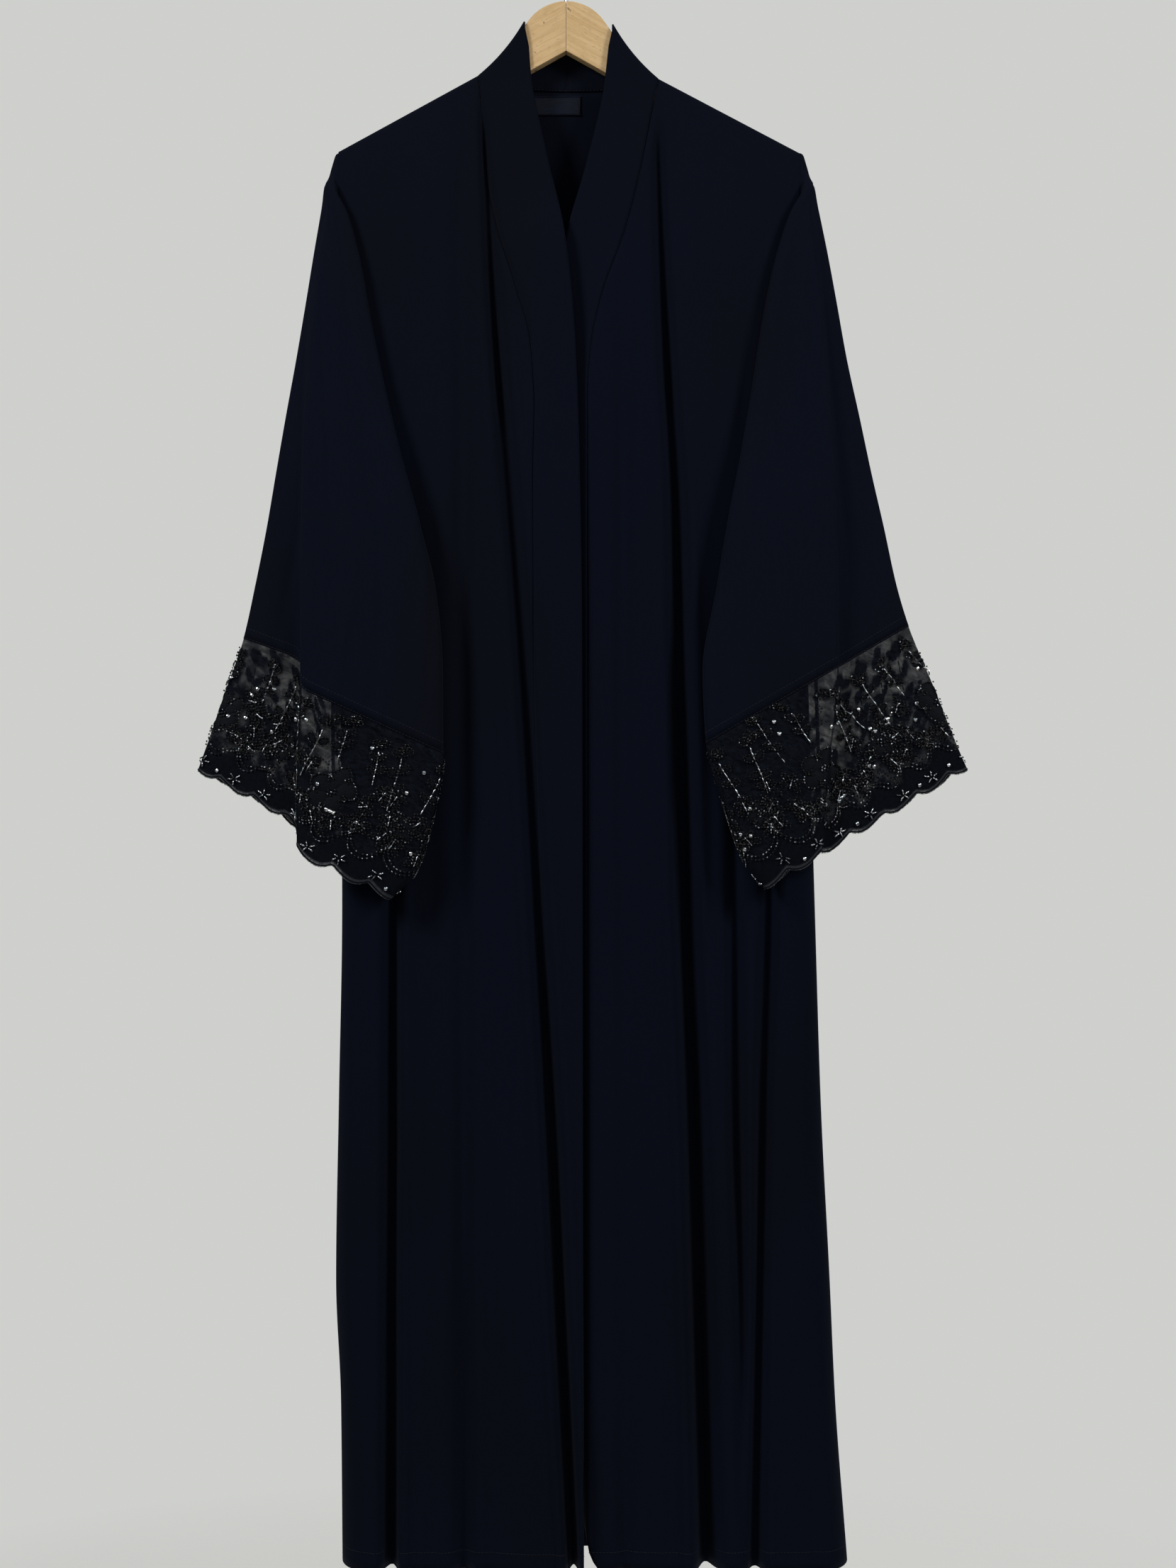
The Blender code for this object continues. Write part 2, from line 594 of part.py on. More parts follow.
def sleeve_section(side, row, lower_seam):
    """One section round the sleeve, from the front of the underarm seam to the back of it."""
    r = dict(zip(SLEEVE_COLUMNS, row, strict=True))
    out = SIDES[side]["sign"]
    armhole = SIDES[side]["armhole"]

    def height(x):
        t = (x - r["x_in"]) / (r["x_out"] - r["x_in"])
        return r["z_in"] + (r["z_out"] - r["z_in"]) * np.clip(t, 0.0, 1.0)

    z_arm = float(height(armhole))
    if lower_seam:
        armhole = float(side_x(side, z_arm))
        seam_x = armhole + out * 3.5
        seam_y = float(hidden_y(side, seam_x, z_arm)) + LAYER_GAP + 0.6
        front_end = seam_y - 0.8
        back_end = seam_y + 0.8
    else:
        seam_x = armhole + out * SEAM_GAP / 2
        front_end = -float(slit_half(max(z_arm, UNDERARM_Z)))
        back_end = -front_end
    points = [
        (seam_x, front_end, 0.0),
        (seam_x + out * 1.6, front_end, 0.0),
        (seam_x + out * TURN_REACH, front_end - 1.7, 0.0),
        (seam_x + out * 1.8, front_end - LAYER_GAP + 0.2, 0.0),
    ]
    under_end = r["x_in"] + out * min(1.6, r["room"] / 3)
    for t in (0.1, 0.4, 0.7, 1.0):
        x = armhole + (under_end - armhole) * t
        points.append((x, float(hidden_y(side, x, height(x))), 0.0))
    inner_y = points[-1][1]
    points.append((r["x_in"], inner_y - r["room"] * 0.5, 0.0))
    visible = inner_y - r["room"]
    points.append((under_end, visible, 0.0))
    for t in (0.2, 0.42, 0.64, 0.84):
        x = under_end + (r["x_lip"] - under_end) * t
        along = (x - r["x_in"]) / (r["x_lip"] - r["x_in"])
        belly = VISIBLE_BELLY * math.sin(math.pi * t) * r["room"]
        points.append((x, visible - belly, -SLIP_DOWN * r["slip"] * along))
    back_of_step = visible + r["step"]
    behind_lip = r["x_lip"] + out * 1.2
    points.append((r["x_lip"], visible, -SLIP_DOWN * r["slip"]))
    points.append((r["x_lip"] - out * 0.2 * r["step"], visible + r["step"] * 0.55, 0.0))
    points.append((behind_lip, back_of_step, SLIP_UP * r["slip"]))
    outer_x = r["x_out"] - out * 1.2
    outer_y = r["y_out"] - 1.8
    for t in (0.3, 0.65):
        y = back_of_step + (outer_y - back_of_step) * t
        points.append((behind_lip + (outer_x - behind_lip) * t, y, SLIP_UP * r["slip"] * (1 - t)))
    points.append((outer_x, outer_y, 0.0))
    points.append((r["x_out"], r["y_out"] + 0.4, 0.0))
    rear_x = r["x_out"] - out * 1.4
    rear_y = r["y_out"] + 2.8
    points.append((rear_x, rear_y, 0.0))
    for t in (0.25, 0.5, 0.75):
        y = rear_y + (back_end - rear_y) * t + 2.0 * math.sin(math.pi * t)
        points.append((rear_x + (seam_x + out * 3.4 - rear_x) * t, y, 0.0))
    points.append((seam_x + out * 3.4, back_end, 0.0))
    points.append((seam_x + out * 1.6, back_end, 0.0))
    points.append((seam_x, back_end, 0.0))
    return np.array([(x, y, float(height(x)) + extra) for x, y, extra in points])


def sleeve_top_row(side, reach, turned, z_inner, z_outer):
    """A row above the fold: half an ellipse that becomes the first section with the turn in it."""
    columns = np.arange(SLEEVE_ACROSS)
    start_out, forward, across = (
        curve_through(columns, SLEEVE_START["column"], SLEEVE_START[key])
        for key in ("out", "forward", "across")
    )
    half = float(slit_half(z_inner))
    angles = (columns / (SLEEVE_ACROSS - 1) - 0.5) * math.pi
    out = np.cos(angles) * (1 - turned) + start_out / start_out.max() * turned
    y = half * np.sin(angles) * (1 - turned) + (half * (2 * across - 1) - forward) * turned
    x = SIDES[side]["armhole"] + SIDES[side]["sign"] * (SEAM_GAP + reach * out)
    z = z_inner + (z_outer - z_inner) * out
    return np.stack([x, y, z], axis=1)


def sleeve_panel(side):
    rows = [sleeve_top_row(side, *row) for row in SLEEVE_TOP_ROWS]
    for index, row in enumerate(SLEEVE_ROWS[side]):
        rows.append(sleeve_section(side, row, index > SLEEVE_UNDERARM_ROW))
    return np.array(rows)


def subdivided(section, parts):
    """The section with each stretch cut into its own number of equal parts."""
    points = [section[0]]
    for start, end, count in zip(section[:-1], section[1:], parts, strict=True):
        points += [start + (end - start) * (k + 1) / count for k in range(count)]
    return np.array(points)


def cuff_panel(side):
    """The lace: the sleeve's last section carried down, with a scalloped lower edge."""
    sections = [sleeve_section(side, SLEEVE_ROWS[side][-1], True)]
    sections += [sleeve_section(side, row, True) for row in CUFF_ROWS[side]]
    lengths = np.linalg.norm(np.diff(sections[-1], axis=0), axis=1)
    parts = [max(1, round(length / CUFF_SPACING)) for length in lengths]
    rows = [subdivided(section, parts) for section in sections]
    steps = np.diff(rows[0], axis=0)
    slopes = np.abs(steps[:, 2]) / np.hypot(steps[:, 0], steps[:, 1])
    steepest = np.maximum(np.r_[slopes, 0.0], np.r_[0.0, slopes])
    rows[0][:, 2] -= CUFF_GAP * (1 + steepest**2)
    run = np.cumsum(np.r_[0.0, np.linalg.norm(np.diff(rows[-1], axis=0), axis=1)])
    lobes = round(run[-1] / SCALLOP_PITCH)
    scallops = np.abs(np.sin(math.pi * lobes * run / run[-1]))
    rows[-1][:, 2] -= SCALLOP_DEPTH * (scallops - SCALLOP_MEAN)
    return np.array(rows)


# ---------------------------------------------------------------- objects


def material(name):
    colour, roughness, metallic = COLOURS[name]
    made = bpy.data.materials.get(name)
    if made is None:
        made = bpy.data.materials.new(name)
        made.use_nodes = True
        shader = made.node_tree.nodes["Principled BSDF"]
        shader.inputs["Base Color"].default_value = colour
        shader.inputs["Roughness"].default_value = roughness
        shader.inputs["Metallic"].default_value = metallic
    return made


def cloth_object(collection, name, rows, thickness, material_name):
    """A grid of points in millimetres as an open surface, made a wall by Solidify."""
    down, across = rows.shape[:2]
    points = [tuple(point) for point in (rows * MM).reshape(-1, 3)]
    faces = []
    for i in range(down - 1):
        for j in range(across - 1):
            corner = i * across + j
            faces.append((corner, corner + across, corner + across + 1, corner + 1))
    mesh = bpy.data.meshes.new(name)
    mesh.from_pydata(points, [], faces)
    mesh.shade_smooth()
    made = bpy.data.objects.new(name, mesh)
    collection.objects.link(made)
    made.data.materials.append(material(material_name))
    wall = made.modifiers.new("wall", "SOLIDIFY")
    wall.thickness = thickness * MM
    wall.offset = 0.0
    wall.use_even_offset = True
    return made


def label_grid():
    """The label follows the inside of the back panel, moved out from its points."""
    across, down = LABEL_POINTS
    clear = CLOTH / 2 + SEAM_GAP + LABEL_THICKNESS / 2 + LABEL_CLEAR
    x, z = np.meshgrid(np.linspace(*LABEL_X, across), np.linspace(*LABEL_Z, down))
    return np.stack([x, back_y(x, z) - clear, z], axis=2)


def wood_outline():
    """The left half's outline in x and z, from the top of the joint anticlockwise."""
    centre_z = HUMP_TOP_Z - HUMP_RADIUS
    outline = []
    for degrees in np.linspace(0.0, HUMP_SWEEP, 9):
        angle = math.radians(degrees)
        x = -HUMP_RADIUS * math.sin(angle)
        outline.append((x, centre_z + HUMP_RADIUS * math.cos(angle)))
    hump_x, hump_z = outline[-1]
    arm_level = ARM_START[1] + ARM_SLOPE * ARM_START[0]
    meet_x = (hump_z - arm_level - NECK_SLOPE * hump_x) / (ARM_SLOPE - NECK_SLOPE)
    for reach in NECK_CORNER:
        x = meet_x + reach
        outline.append((x, max(hump_z + NECK_SLOPE * (x - hump_x), arm_level + ARM_SLOPE * x)))
    lean = math.atan(ARM_SLOPE)
    width = ARM_DEPTH * math.cos(lean)
    tip_x = -ARM_END_X + width / 2
    tip_z = arm_level + ARM_SLOPE * tip_x - ARM_DEPTH / 2
    for degrees in np.linspace(90.0, 270.0, 9):
        angle = math.radians(degrees) + lean
        outline.append((tip_x + width / 2 * math.cos(angle), tip_z + width / 2 * math.sin(angle)))
    outline.append((0.0, NOTCH_Z))
    return outline


def wood_half(collection, name, sign):
    outline = wood_outline()
    curve = bpy.data.curves.new(name, "CURVE")
    curve.dimensions = "2D"
    curve.fill_mode = "BOTH"
    curve.extrude = WOOD_HALF_THICKNESS * MM
    spline = curve.splines.new("POLY")
    spline.points.add(len(outline) - 1)
    for point, (x, z) in zip(spline.points, outline, strict=True):
        point.co = (-sign * min(x, -SEAM_GAP / 2) * MM, z * MM, 0.0, 1.0)
    spline.use_cyclic_u = True
    guide = bpy.data.objects.new(name + "_outline", curve)
    guide.rotation_euler = (math.radians(90), 0, 0)
    collection.objects.link(guide)
    bpy.context.view_layer.update()
    graph = bpy.context.evaluated_depsgraph_get()
    mesh = bpy.data.meshes.new_from_object(guide.evaluated_get(graph))
    mesh.name = name
    shape = bmesh.new()
    shape.from_mesh(mesh)
    bmesh.ops.remove_doubles(shape, verts=shape.verts, dist=0.00001)
    bmesh.ops.recalc_face_normals(shape, faces=shape.faces)
    shape.to_mesh(mesh)
    shape.free()
    made = bpy.data.objects.new(name, mesh)
    made.matrix_world = guide.matrix_world
    collection.objects.link(made)
    bpy.data.objects.remove(guide)
    made.data.materials.append(material("wood"))
    bevel = made.modifiers.new("rounded edges", "BEVEL")
    bevel.width = WOOD_ROUND * MM
    bevel.segments = 2
    bevel.limit_method = "ANGLE"
    bevel.angle_limit = math.radians(50)
    return made


def drill_for_stem(halves, cutters):
    """The stem's hole runs down the joint of the two halves."""
    top = HUMP_TOP_Z + 4.0
    depth = top - STEM_BOTTOM_Z + STEM_CLEARANCE
    bpy.ops.mesh.primitive_cylinder_add(
        vertices=16,
        radius=(WIRE_RADIUS + STEM_CLEARANCE) * MM,
        depth=depth * MM,
        location=(0, 0, (top - depth / 2) * MM),
    )
    drill = bpy.context.object
    drill.name = "stem_drill"
    for owner in list(drill.users_collection):
        owner.objects.unlink(drill)
    cutters.objects.link(drill)
    drill.hide_render = True
    drill.display_type = "WIRE"
    for half in halves:
        cut = half.modifiers.new("stem hole", "BOOLEAN")
        cut.operation = "DIFFERENCE"
        cut.object = drill


def hook_path():
    """A question-mark hook: round over the rail's side and straight down into the wood."""
    centre_z = WIRE_RADIUS - HOOK_RADIUS
    path = [(0.0, STEM_BOTTOM_Z), (0.0, -70.0), (0.0, STEM_TOP_Z - 4.0), (0.6, STEM_TOP_Z)]
    path += [(3.0, STEM_TOP_Z + 4.6), (7.0, STEM_TOP_Z + 8.2)]
    for degrees in np.linspace(-52.0, 205.0, 20):
        angle = math.radians(degrees)
        path.append((HOOK_RADIUS * math.cos(angle), centre_z + HOOK_RADIUS * math.sin(angle)))
    return path


def hook(collection):
    curve = bpy.data.curves.new("hanger_hook", "CURVE")
    curve.dimensions = "3D"
    curve.bevel_depth = WIRE_RADIUS * MM
    curve.bevel_resolution = 2
    curve.use_fill_caps = True
    spline = curve.splines.new("POLY")
    path = hook_path()
    spline.points.add(len(path) - 1)
    for point, (x, z) in zip(spline.points, path, strict=True):
        point.co = (x * MM, 0.0, z * MM, 1.0)
    made = bpy.data.objects.new("hanger_hook", curve)
    collection.objects.link(made)
    made.data.materials.append(material("steel"))


def build():
    for old in list(bpy.data.objects):
        bpy.data.objects.remove(old)
    scene_root = bpy.context.scene.collection
    parts = bpy.data.collections.new("abaya_cloak")
    cutters = bpy.data.collections.new("cutters")
    scene_root.children.link(parts)
    scene_root.children.link(cutters)
    cloth_object(parts, "back", back_panel(), CLOTH, "crepe")
    for side in SIDES:
        cloth_object(parts, "front_" + side, front_panel(side), CLOTH, "crepe")
        cloth_object(parts, "band_" + side, band_panel(side), BAND_CLOTH, "crepe")
        cloth_object(parts, "sleeve_" + side, sleeve_panel(side), CLOTH, "crepe")
        cloth_object(parts, "cuff_" + side, cuff_panel(side), LACE, "lace")
    cloth_object(parts, "neck_label", label_grid(), LABEL_THICKNESS, "label")
    halves = [wood_half(parts, "hanger_" + side, SIDES[side]["sign"]) for side in SIDES]
    drill_for_stem(halves, cutters)
    hook(parts)


build()
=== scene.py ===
"""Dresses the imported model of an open-front abaya cloak that hangs on a flat wooden hanger.

Frame: metres, +Z up, the front faces -Y, and left is the -X side as seen from the front.
Tables and named sizes are in millimetres. Each cloth piece is a fine grid of points on the form
of its solid, with the small creases added, made a thin shell by Solidify.
"""

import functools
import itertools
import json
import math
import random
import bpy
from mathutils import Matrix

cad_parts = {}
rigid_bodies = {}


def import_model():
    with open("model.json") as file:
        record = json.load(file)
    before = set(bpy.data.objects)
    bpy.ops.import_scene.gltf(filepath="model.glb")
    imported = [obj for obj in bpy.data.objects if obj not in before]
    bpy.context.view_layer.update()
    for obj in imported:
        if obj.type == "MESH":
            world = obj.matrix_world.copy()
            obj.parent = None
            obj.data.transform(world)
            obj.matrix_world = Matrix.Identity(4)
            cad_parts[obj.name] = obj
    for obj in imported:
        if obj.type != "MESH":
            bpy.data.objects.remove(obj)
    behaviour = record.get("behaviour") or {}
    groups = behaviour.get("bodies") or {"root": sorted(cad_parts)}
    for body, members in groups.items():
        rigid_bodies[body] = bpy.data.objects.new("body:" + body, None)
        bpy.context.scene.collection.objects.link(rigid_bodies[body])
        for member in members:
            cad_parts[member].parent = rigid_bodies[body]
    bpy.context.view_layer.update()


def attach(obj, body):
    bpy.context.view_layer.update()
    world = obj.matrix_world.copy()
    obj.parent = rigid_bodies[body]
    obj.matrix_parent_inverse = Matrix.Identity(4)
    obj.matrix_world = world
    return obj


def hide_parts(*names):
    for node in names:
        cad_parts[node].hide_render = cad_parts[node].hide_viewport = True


bl_info = {
    "name": "Abaya Cloak on a Hanger",
    "version": (1, 0, 0),
    "blender": (4, 5, 0),
    "location": "3D Viewport > Sidebar > Abaya",
    "description": "Crepe panels, beaded organza cuffs, wooden hanger and studio for one cloak",
    "category": "Object",
}

import bpy
import numpy as np
from bpy.props import FloatProperty, FloatVectorProperty, IntProperty, PointerProperty
from mathutils import Matrix, Vector

for leftover in list(bpy.data.objects):
    bpy.data.objects.remove(leftover)
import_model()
MM = 0.001
BODY = "root"

# ---------------------------------------------------------------- the cloak's sizes, in mm

SEAM_GAP = 0.3
HEM_Z = -1487
UNDERARM_Z = -462
BAND_FROM_Z = -425
BAND_WIDTHS = {"z": (-425, -500, -620, HEM_Z), "width": (39.5, 43, 44.5, 44.5)}
# The side's sign, then x and z of its shoulder line at the neck and at the armhole's corner, and
# of the band's free edge on the shoulder.
SIDES = {
    "left": {"sign": -1, "neck": (-80, -130), "corner": (-208, -200), "tip": (-38, -80.5)},
    "right": {"sign": 1, "neck": (84, -133), "corner": (214, -201.5), "tip": (42.5, -83)},
}
TIP_SAG = 3
TIP_SPREAD = 1.1
SIDE_SEAMS = {
    "z": (UNDERARM_Z, -700, -890, -1070, -1230, -1340, HEM_Z),
    "left": (-208, -206.5, -205, -208, -210.5, -206, -204.5),
    "right": (214, 222, 227.5, 233, 241, 246, 257),
}
ARMHOLE_SLIT = {
    "z": (-200, -215, -260, -330, -390, -430, UNDERARM_Z),
    "half": (7.8, 8.2, 10, 12, 11, 7, 0.8),
}
SIDE_ROUND = 26
SIDE_ROUND_FROM = 60
HANGER_CLEAR = 7.8
DEPTHS = {
    "below": (0, 40, 150, 300, 600, 1000, 1400),
    "front": (0, 2.5, 7, 11, 17, 23, 29),
    "back": (0, 1.5, 4, 7, 12, 17, 22),
}
# The left front is lifted over the right one: how far, and the x and z where that starts, each
# with the length over which it grows.
OVERLAP_LIFT = 5
OVERLAP_FROM = {"x": (-75, 45), "z": (-235, 50)}

# The turn over the hanger's arm, then rows down the body: heights at the side, at the band's
# seam and at the band's free edge.
TURN_ROWS = {"drop": (3.4, 0.3, 0, 0.3, 3.4), "y": (7.7, 5.4, 0, -5.4, -7.7)}
BODY_ROWS = {
    "side": (-214, -232, -270, -320, -385, -425, UNDERARM_Z, -640, -900, -1200, HEM_Z),
    "seam": (-146, -165, -215, -285, -370, -425, UNDERARM_Z, -640, -900, -1200, HEM_Z),
    "edge": (-104, -138, -200, -278, -370, -425, UNDERARM_Z, -640, -900, -1200, HEM_Z),
}
# Fine rows to each stretch: down the body, and over the turn of the front, band and back.
BODY_STEPS = (4, 7, 7, 9, 6, 6, 26, 34, 36, 34)
TURN_STEPS = (3, 3, 3, 3, 6)
BAND_TURN_STEPS = (6, 3, 3, 3, 3, 6, 6, 6)
BACK_TURN_STEPS = (5,)
# Points on a path before it is cut evenly, and how far from its edge the band's seam is sought.
PATH_POINTS = {"short": 60, "band": 160, "front": 500, "back": 1400}
BAND_SEARCH = 70
LEFT_EDGE = {
    "z": (-104, -130, -197, -279, -371, -499, -644, HEM_Z),
    "x": (-34, -32, -19, -0.7, 8.3, 12.8, 14.8, 16),
}
RIGHT_EDGE = {
    "z": (-104, -141, -215, -271, -310, -370, -425, -520, -700, -885, -1070, -1250, -1462, HEM_Z),
    "x": (38.8, 34.5, 17.6, 1.3, -7, -18, -21.5, -21, -15, -8, 0, 8, 17, 30),
    "y": (-8.9, -9.5, -11.5, -12, -11.5, -9, -6, -2, 5, 8, 10, 10.5, 9, 8),
}
BAND_SEAMS = {
    "left": {
        "z": (-133, -165, -224, -270, -325, -375, BAND_FROM_Z),
        "x": (-80, -77, -72, -62.5, -46, -32.5, -29),
    },
    "right": {
        "z": (-136, -165, -215, -270, -334, -380, -425, -1452, -1472, HEM_Z),
        "x": (84, 78, 68.3, 54.5, 32, 22.5, 19.5, 19.5, 22, 31),
    },
}
SEAM_GROOVE = {"depth": 1.5, "half": 3.2, "fade": 60}

# Main folds, from left to right: x, depth and half-width of each trough at the heights in FOLD_Z.
FOLD_Z = (-200, -380, -520, -700, -885, -1070, -1250, HEM_Z)
FRONT_FOLDS = (
    ((-71, -62, -50, -36.5, -25.5, -14, -5, 7),
     (2, 7, 9, 11, 13, 17, 20, 24), (10, 10, 11, 11, 11, 11, 10, 8)),
    ((-97, -95, -94, -94, -93, -92, -92, -92),
     (1, 4, 4.5, 4.5, 4, 5, 6.5, 8), (14, 14, 14, 14, 14, 13, 13, 13)),
    ((-158, -158, -158, -158, -157, -157, -158, -158), (0, 0, 0, 5, 12, 14, 16, 19), (10,) * 8),
    ((52, 52, 52, 52, 53, 54, 54, 55), (0, 2, 3.5, 3, 2, 2, 2.5, 3.5), (12,) * 8),
    ((83, 91, 99.5, 103.5, 107, 114.5, 120, 127),
     (3, 9, 13, 17, 20, 22, 24, 26), (9, 10, 11, 12, 12, 12, 12, 12)),
    ((152, 152, 152, 152, 152.5, 154, 159, 160),
     (0, 0, 0, 3, 8, 10, 8, 2), (10, 10, 10, 10, 10, 10, 9, 7)),
    ((186, 186, 186, 186, 184, 178, 175, 171),
     (0, 0, 0, 3, 9, 10, 12, 15), (10, 10, 10, 10, 10, 9.5, 9.5, 10)),
)
BACK_FOLDS = (
    ((-150, -152, -154, -156, -158, -160, -160, -160), (0, 2, 4, 6, 8, 10, 12, 14), (12,) * 8),
    ((-88, -92, -95, -98, -101, -104, -106, -108), (0, 3, 5, 7, 9, 10, 11, 13), (13,) * 8),
    ((-42, -43, -45, -47, -50, -53, -56, -60), (0, 1, 2, 3, 5, 7, 9, 11), (14,) * 8),
    ((46, 49, 53, 57, 61, 65, 69, 74), (0, 2, 4, 6, 8, 9, 11, 13), (14,) * 8),
    ((104, 108, 112, 116, 120, 125, 130, 136), (0, 3, 5, 7, 9, 11, 12, 14), (12,) * 8),
    ((160, 164, 168, 174, 180, 186, 192, 198), (0, 1, 3, 5, 7, 9, 10, 12), (12,) * 8),
)
FOLD_FADE = 70
CREASE_FADE = 30
LIP = {"rise": 0.16, "at": 1.35, "half": 0.4}

# Small creases laid over the main folds: a line from top to bottom, its depth (a ridge is
# negative), its half-width, and how far each end fades out.
CREASE_BEND = 3
CREASE_SWELL = 0.25
CREASE_FALLOFF = 1.6
CREASE_COLUMNS = ("x_top", "z_top", "x_low", "z_low", "depth", "half", "fade")
FRONT_CREASES = (
    (-112, -215, -120, -560, 1.1, 11, 90),
    (-140, -260, -139, -700, 0.9, 12, 120),
    (-74, -330, -60, -900, -1.6, 9, 160),
    (-68, -560, -48, -1420, -1.1, 8, 200),
    (-120, -640, -122, -1240, 1.2, 12, 180),
    (-136, -900, -132, -1487, -1.2, 9, 140),
    (-176, -820, -178, -1487, -1.5, 10, 130),
    (-190, -900, -188, -1400, 0.8, 6, 120),
    (-72, -1040, -66, -1487, 1.4, 10, 150),
    (-108, -1160, -112, -1487, -1.2, 8, 110),
    (-40, -1180, -30, -1487, -1, 8, 120),
    (70, -260, 76, -880, -1.6, 9, 160),
    (38, -520, 38, -1300, -0.8, 7, 220),
    (74, -760, 88, -1487, -1.3, 9, 200),
    (66, -1000, 70, -1487, 1.2, 8, 180),
    (118, -330, 128, -760, -1.4, 10, 150),
    (132, -560, 137, -1180, 1.3, 9, 170),
    (141, -980, 148, -1487, -1.2, 7, 150),
    (196, -700, 206, -1487, -1.4, 11, 180),
    (216, -980, 226, -1487, 1.2, 9, 160),
    (166, -250, 158, -520, 0.9, 9, 90),
    (-88, -150, -100, -330, 0.8, 7, 60),
    (96, -155, 108, -330, 0.9, 8, 60),
    (120, -178, 134, -380, -0.7, 8, 70),
    (-124, -170, -138, -350, -0.7, 8, 70),
    (46, -1330, 52, -1487, 1.6, 7, 70),
    (102, -1360, 106, -1487, -1.2, 6, 60),
    (-148, -1340, -146, -1487, -1.3, 6, 70),
    (-78, -146, -56, -470, 5.5, 5.5, 55),
    (86, -150, 95, -460, 4, 5.5, 60),
    (111, -620, 136, -1487, 7.5, 7.5, 260),
)
BACK_CREASES = (
    (-120, -240, -128, -760, 1.1, 12, 130),
    (-66, -300, -74, -960, -1.2, 11, 170),
    (-14, -260, -20, -1180, 1.3, 13, 200),
    (18, -500, 24, -1487, -1.1, 11, 190),
    (84, -280, 92, -900, 1, 12, 150),
    (-134, -800, -134, -1487, -1.3, 10, 150),
    (-184, -700, -186, -1487, 1.1, 9, 160),
    (-32, -900, -36, -1487, 1.3, 9, 160),
    (96, -860, 104, -1487, -1.2, 10, 170),
    (152, -640, 166, -1400, 1.2, 10, 160),
    (216, -760, 226, -1487, -1, 10, 150),
    (40, -1150, 46, -1487, 1.4, 8, 120),
)
# The seam between back and band, and how far the back panel laps over it and lies behind it; the
# lap runs out over the last length before each armhole.
NECK_SEAM = {
    "x": (-80, -62, -32, 0, 32, 64, 84),
    "y": (7.7, 8.4, 9, 9, 9, 8.4, 7.7),
    "z": (-133.4, -137, -140, -141, -140.5, -138.8, -136.4),
}
LAP = 1.2
LAP_BEHIND = 1.2
LAP_RUN_OUT = 14
BACK_BAND_TOP = ((30, 8.8, -84), (16, 9.2, -84), (0, 9.2, -84))

# Sleeves and cuffs: a flattened tube folded over the front. The columns are heights at the inner
# and outer fold, their x, the crease's x, the room at the inner fold, the crease's depth, the
# outer fold's y, and how far the crease slips the hem out of line.
SLEEVE_COLUMNS = ("z_in", "z_out", "x_in", "x_lip", "x_out", "room", "step", "y_out", "slip")
SLEEVE_ROWS = {
    "left": (
        (-258, -252, -199, -215, -223.5, 4, 1, -7, 0),
        (-305, -294, -186, -221, -230.5, 5, 2, -8, 0),
        (-355, -338, -177, -228, -237.5, 6, 4, -9, 0),
        (-415, -390, -164.5, -233, -246, 7.5, 6, -11, 0),
        (-479, -444, -149, -236.5, -255.5, 9, 8, -13, 0),
        (-540, -495, -132, -238, -264, 10.5, 10, -15, 0.25),
        (-605, -545, -116.5, -238.5, -272, 12, 11, -18, 0.5),
        (-675, -597, -110.5, -238.5, -282, 13, 12, -20, 0.75),
        (-751, -646, -110, -239, -292.5, 14, 13, -22, 1),
    ),
    "right": (
        (-258, -252, 204, 221, 230.5, 4, 1, -7, 0),
        (-305, -294, 189, 225, 239, 5, 3, -8, 0),
        (-355, -338, 178.5, 231, 247, 6, 4.5, -9, 0),
        (-415, -390, 169, 236, 256, 7.5, 6, -11, 0),
        (-479, -444, 158, 239, 267.5, 9, 7, -13, 0),
        (-540, -495, 146, 242, 278, 10.5, 8, -15, 0),
        (-605, -545, 135, 244, 289, 12, 8, -18, 0),
        (-675, -597, 123, 245, 300, 13, 8, -20, 0),
        (-742, -635, 126, 245, 311, 14, 8, -22, 0),
    ),
}
CUFF_ROWS = {
    "left": (
        (-807, -694, -119, -240, -309, 15.5, 12, -23, 1),
        (-856, -741, -134, -241, -325, 17, 11, -25, 1),
        (-880, -765, -156, -241, -333.5, 18, 10, -26, 1),
    ),
    "right": (
        (-794, -686, 141, 239, 332, 15.5, 8, -23, 0),
        (-848, -738, 160, 232, 353, 17, 8, -25, 0),
        (-871, -763, 177, 229, 364, 18, 8, -26, 0),
    ),
}
# Rows above the fold: reach from the armhole, share of the turn, and inner and outer height.
SLEEVE_TOP_ROWS = (
    (0, 0, -207.8, -200),
    (2.6, 0, -209.4, -201.4),
    (5.6, 0.12, -216.5, -209.5),
    (9.2, 0.45, -227.5, -221.5),
    (12.4, 1, -239, -234),
)
# The first turned section, by column: reach outwards, room forwards, and place from front to back.
SLEEVE_START = {
    "column": (0, 1, 2, 4, 7, 8, 9, 10, 14, 20, 22, 27),
    "out": (0, 1.2, 1.9, 1.7, 0.9, 1, 1.9, 3.5, 9, 12.4, 11, 0),
    "forward": (0, 0, 0.6, 2.4, 5, 5.9, 6.6, 6.8, 5.9, 3.5, 0.5, 0),
    "across": (0, 0, 0, 0, 0, 0, 0, 0, 0, 0.15, 0.5, 1),
}
SLEEVE_UNDERARM_ROW = 4
# Fine rows to each stretch between two sections, from the armhole to the cuff's edge.
ARM_STEPS = (3, 3, 3, 3, 4, 6, 6, 7, 7, 7, 7, 7, 7, 12, 10, 6)
SLEEVE_ACROSS = 28
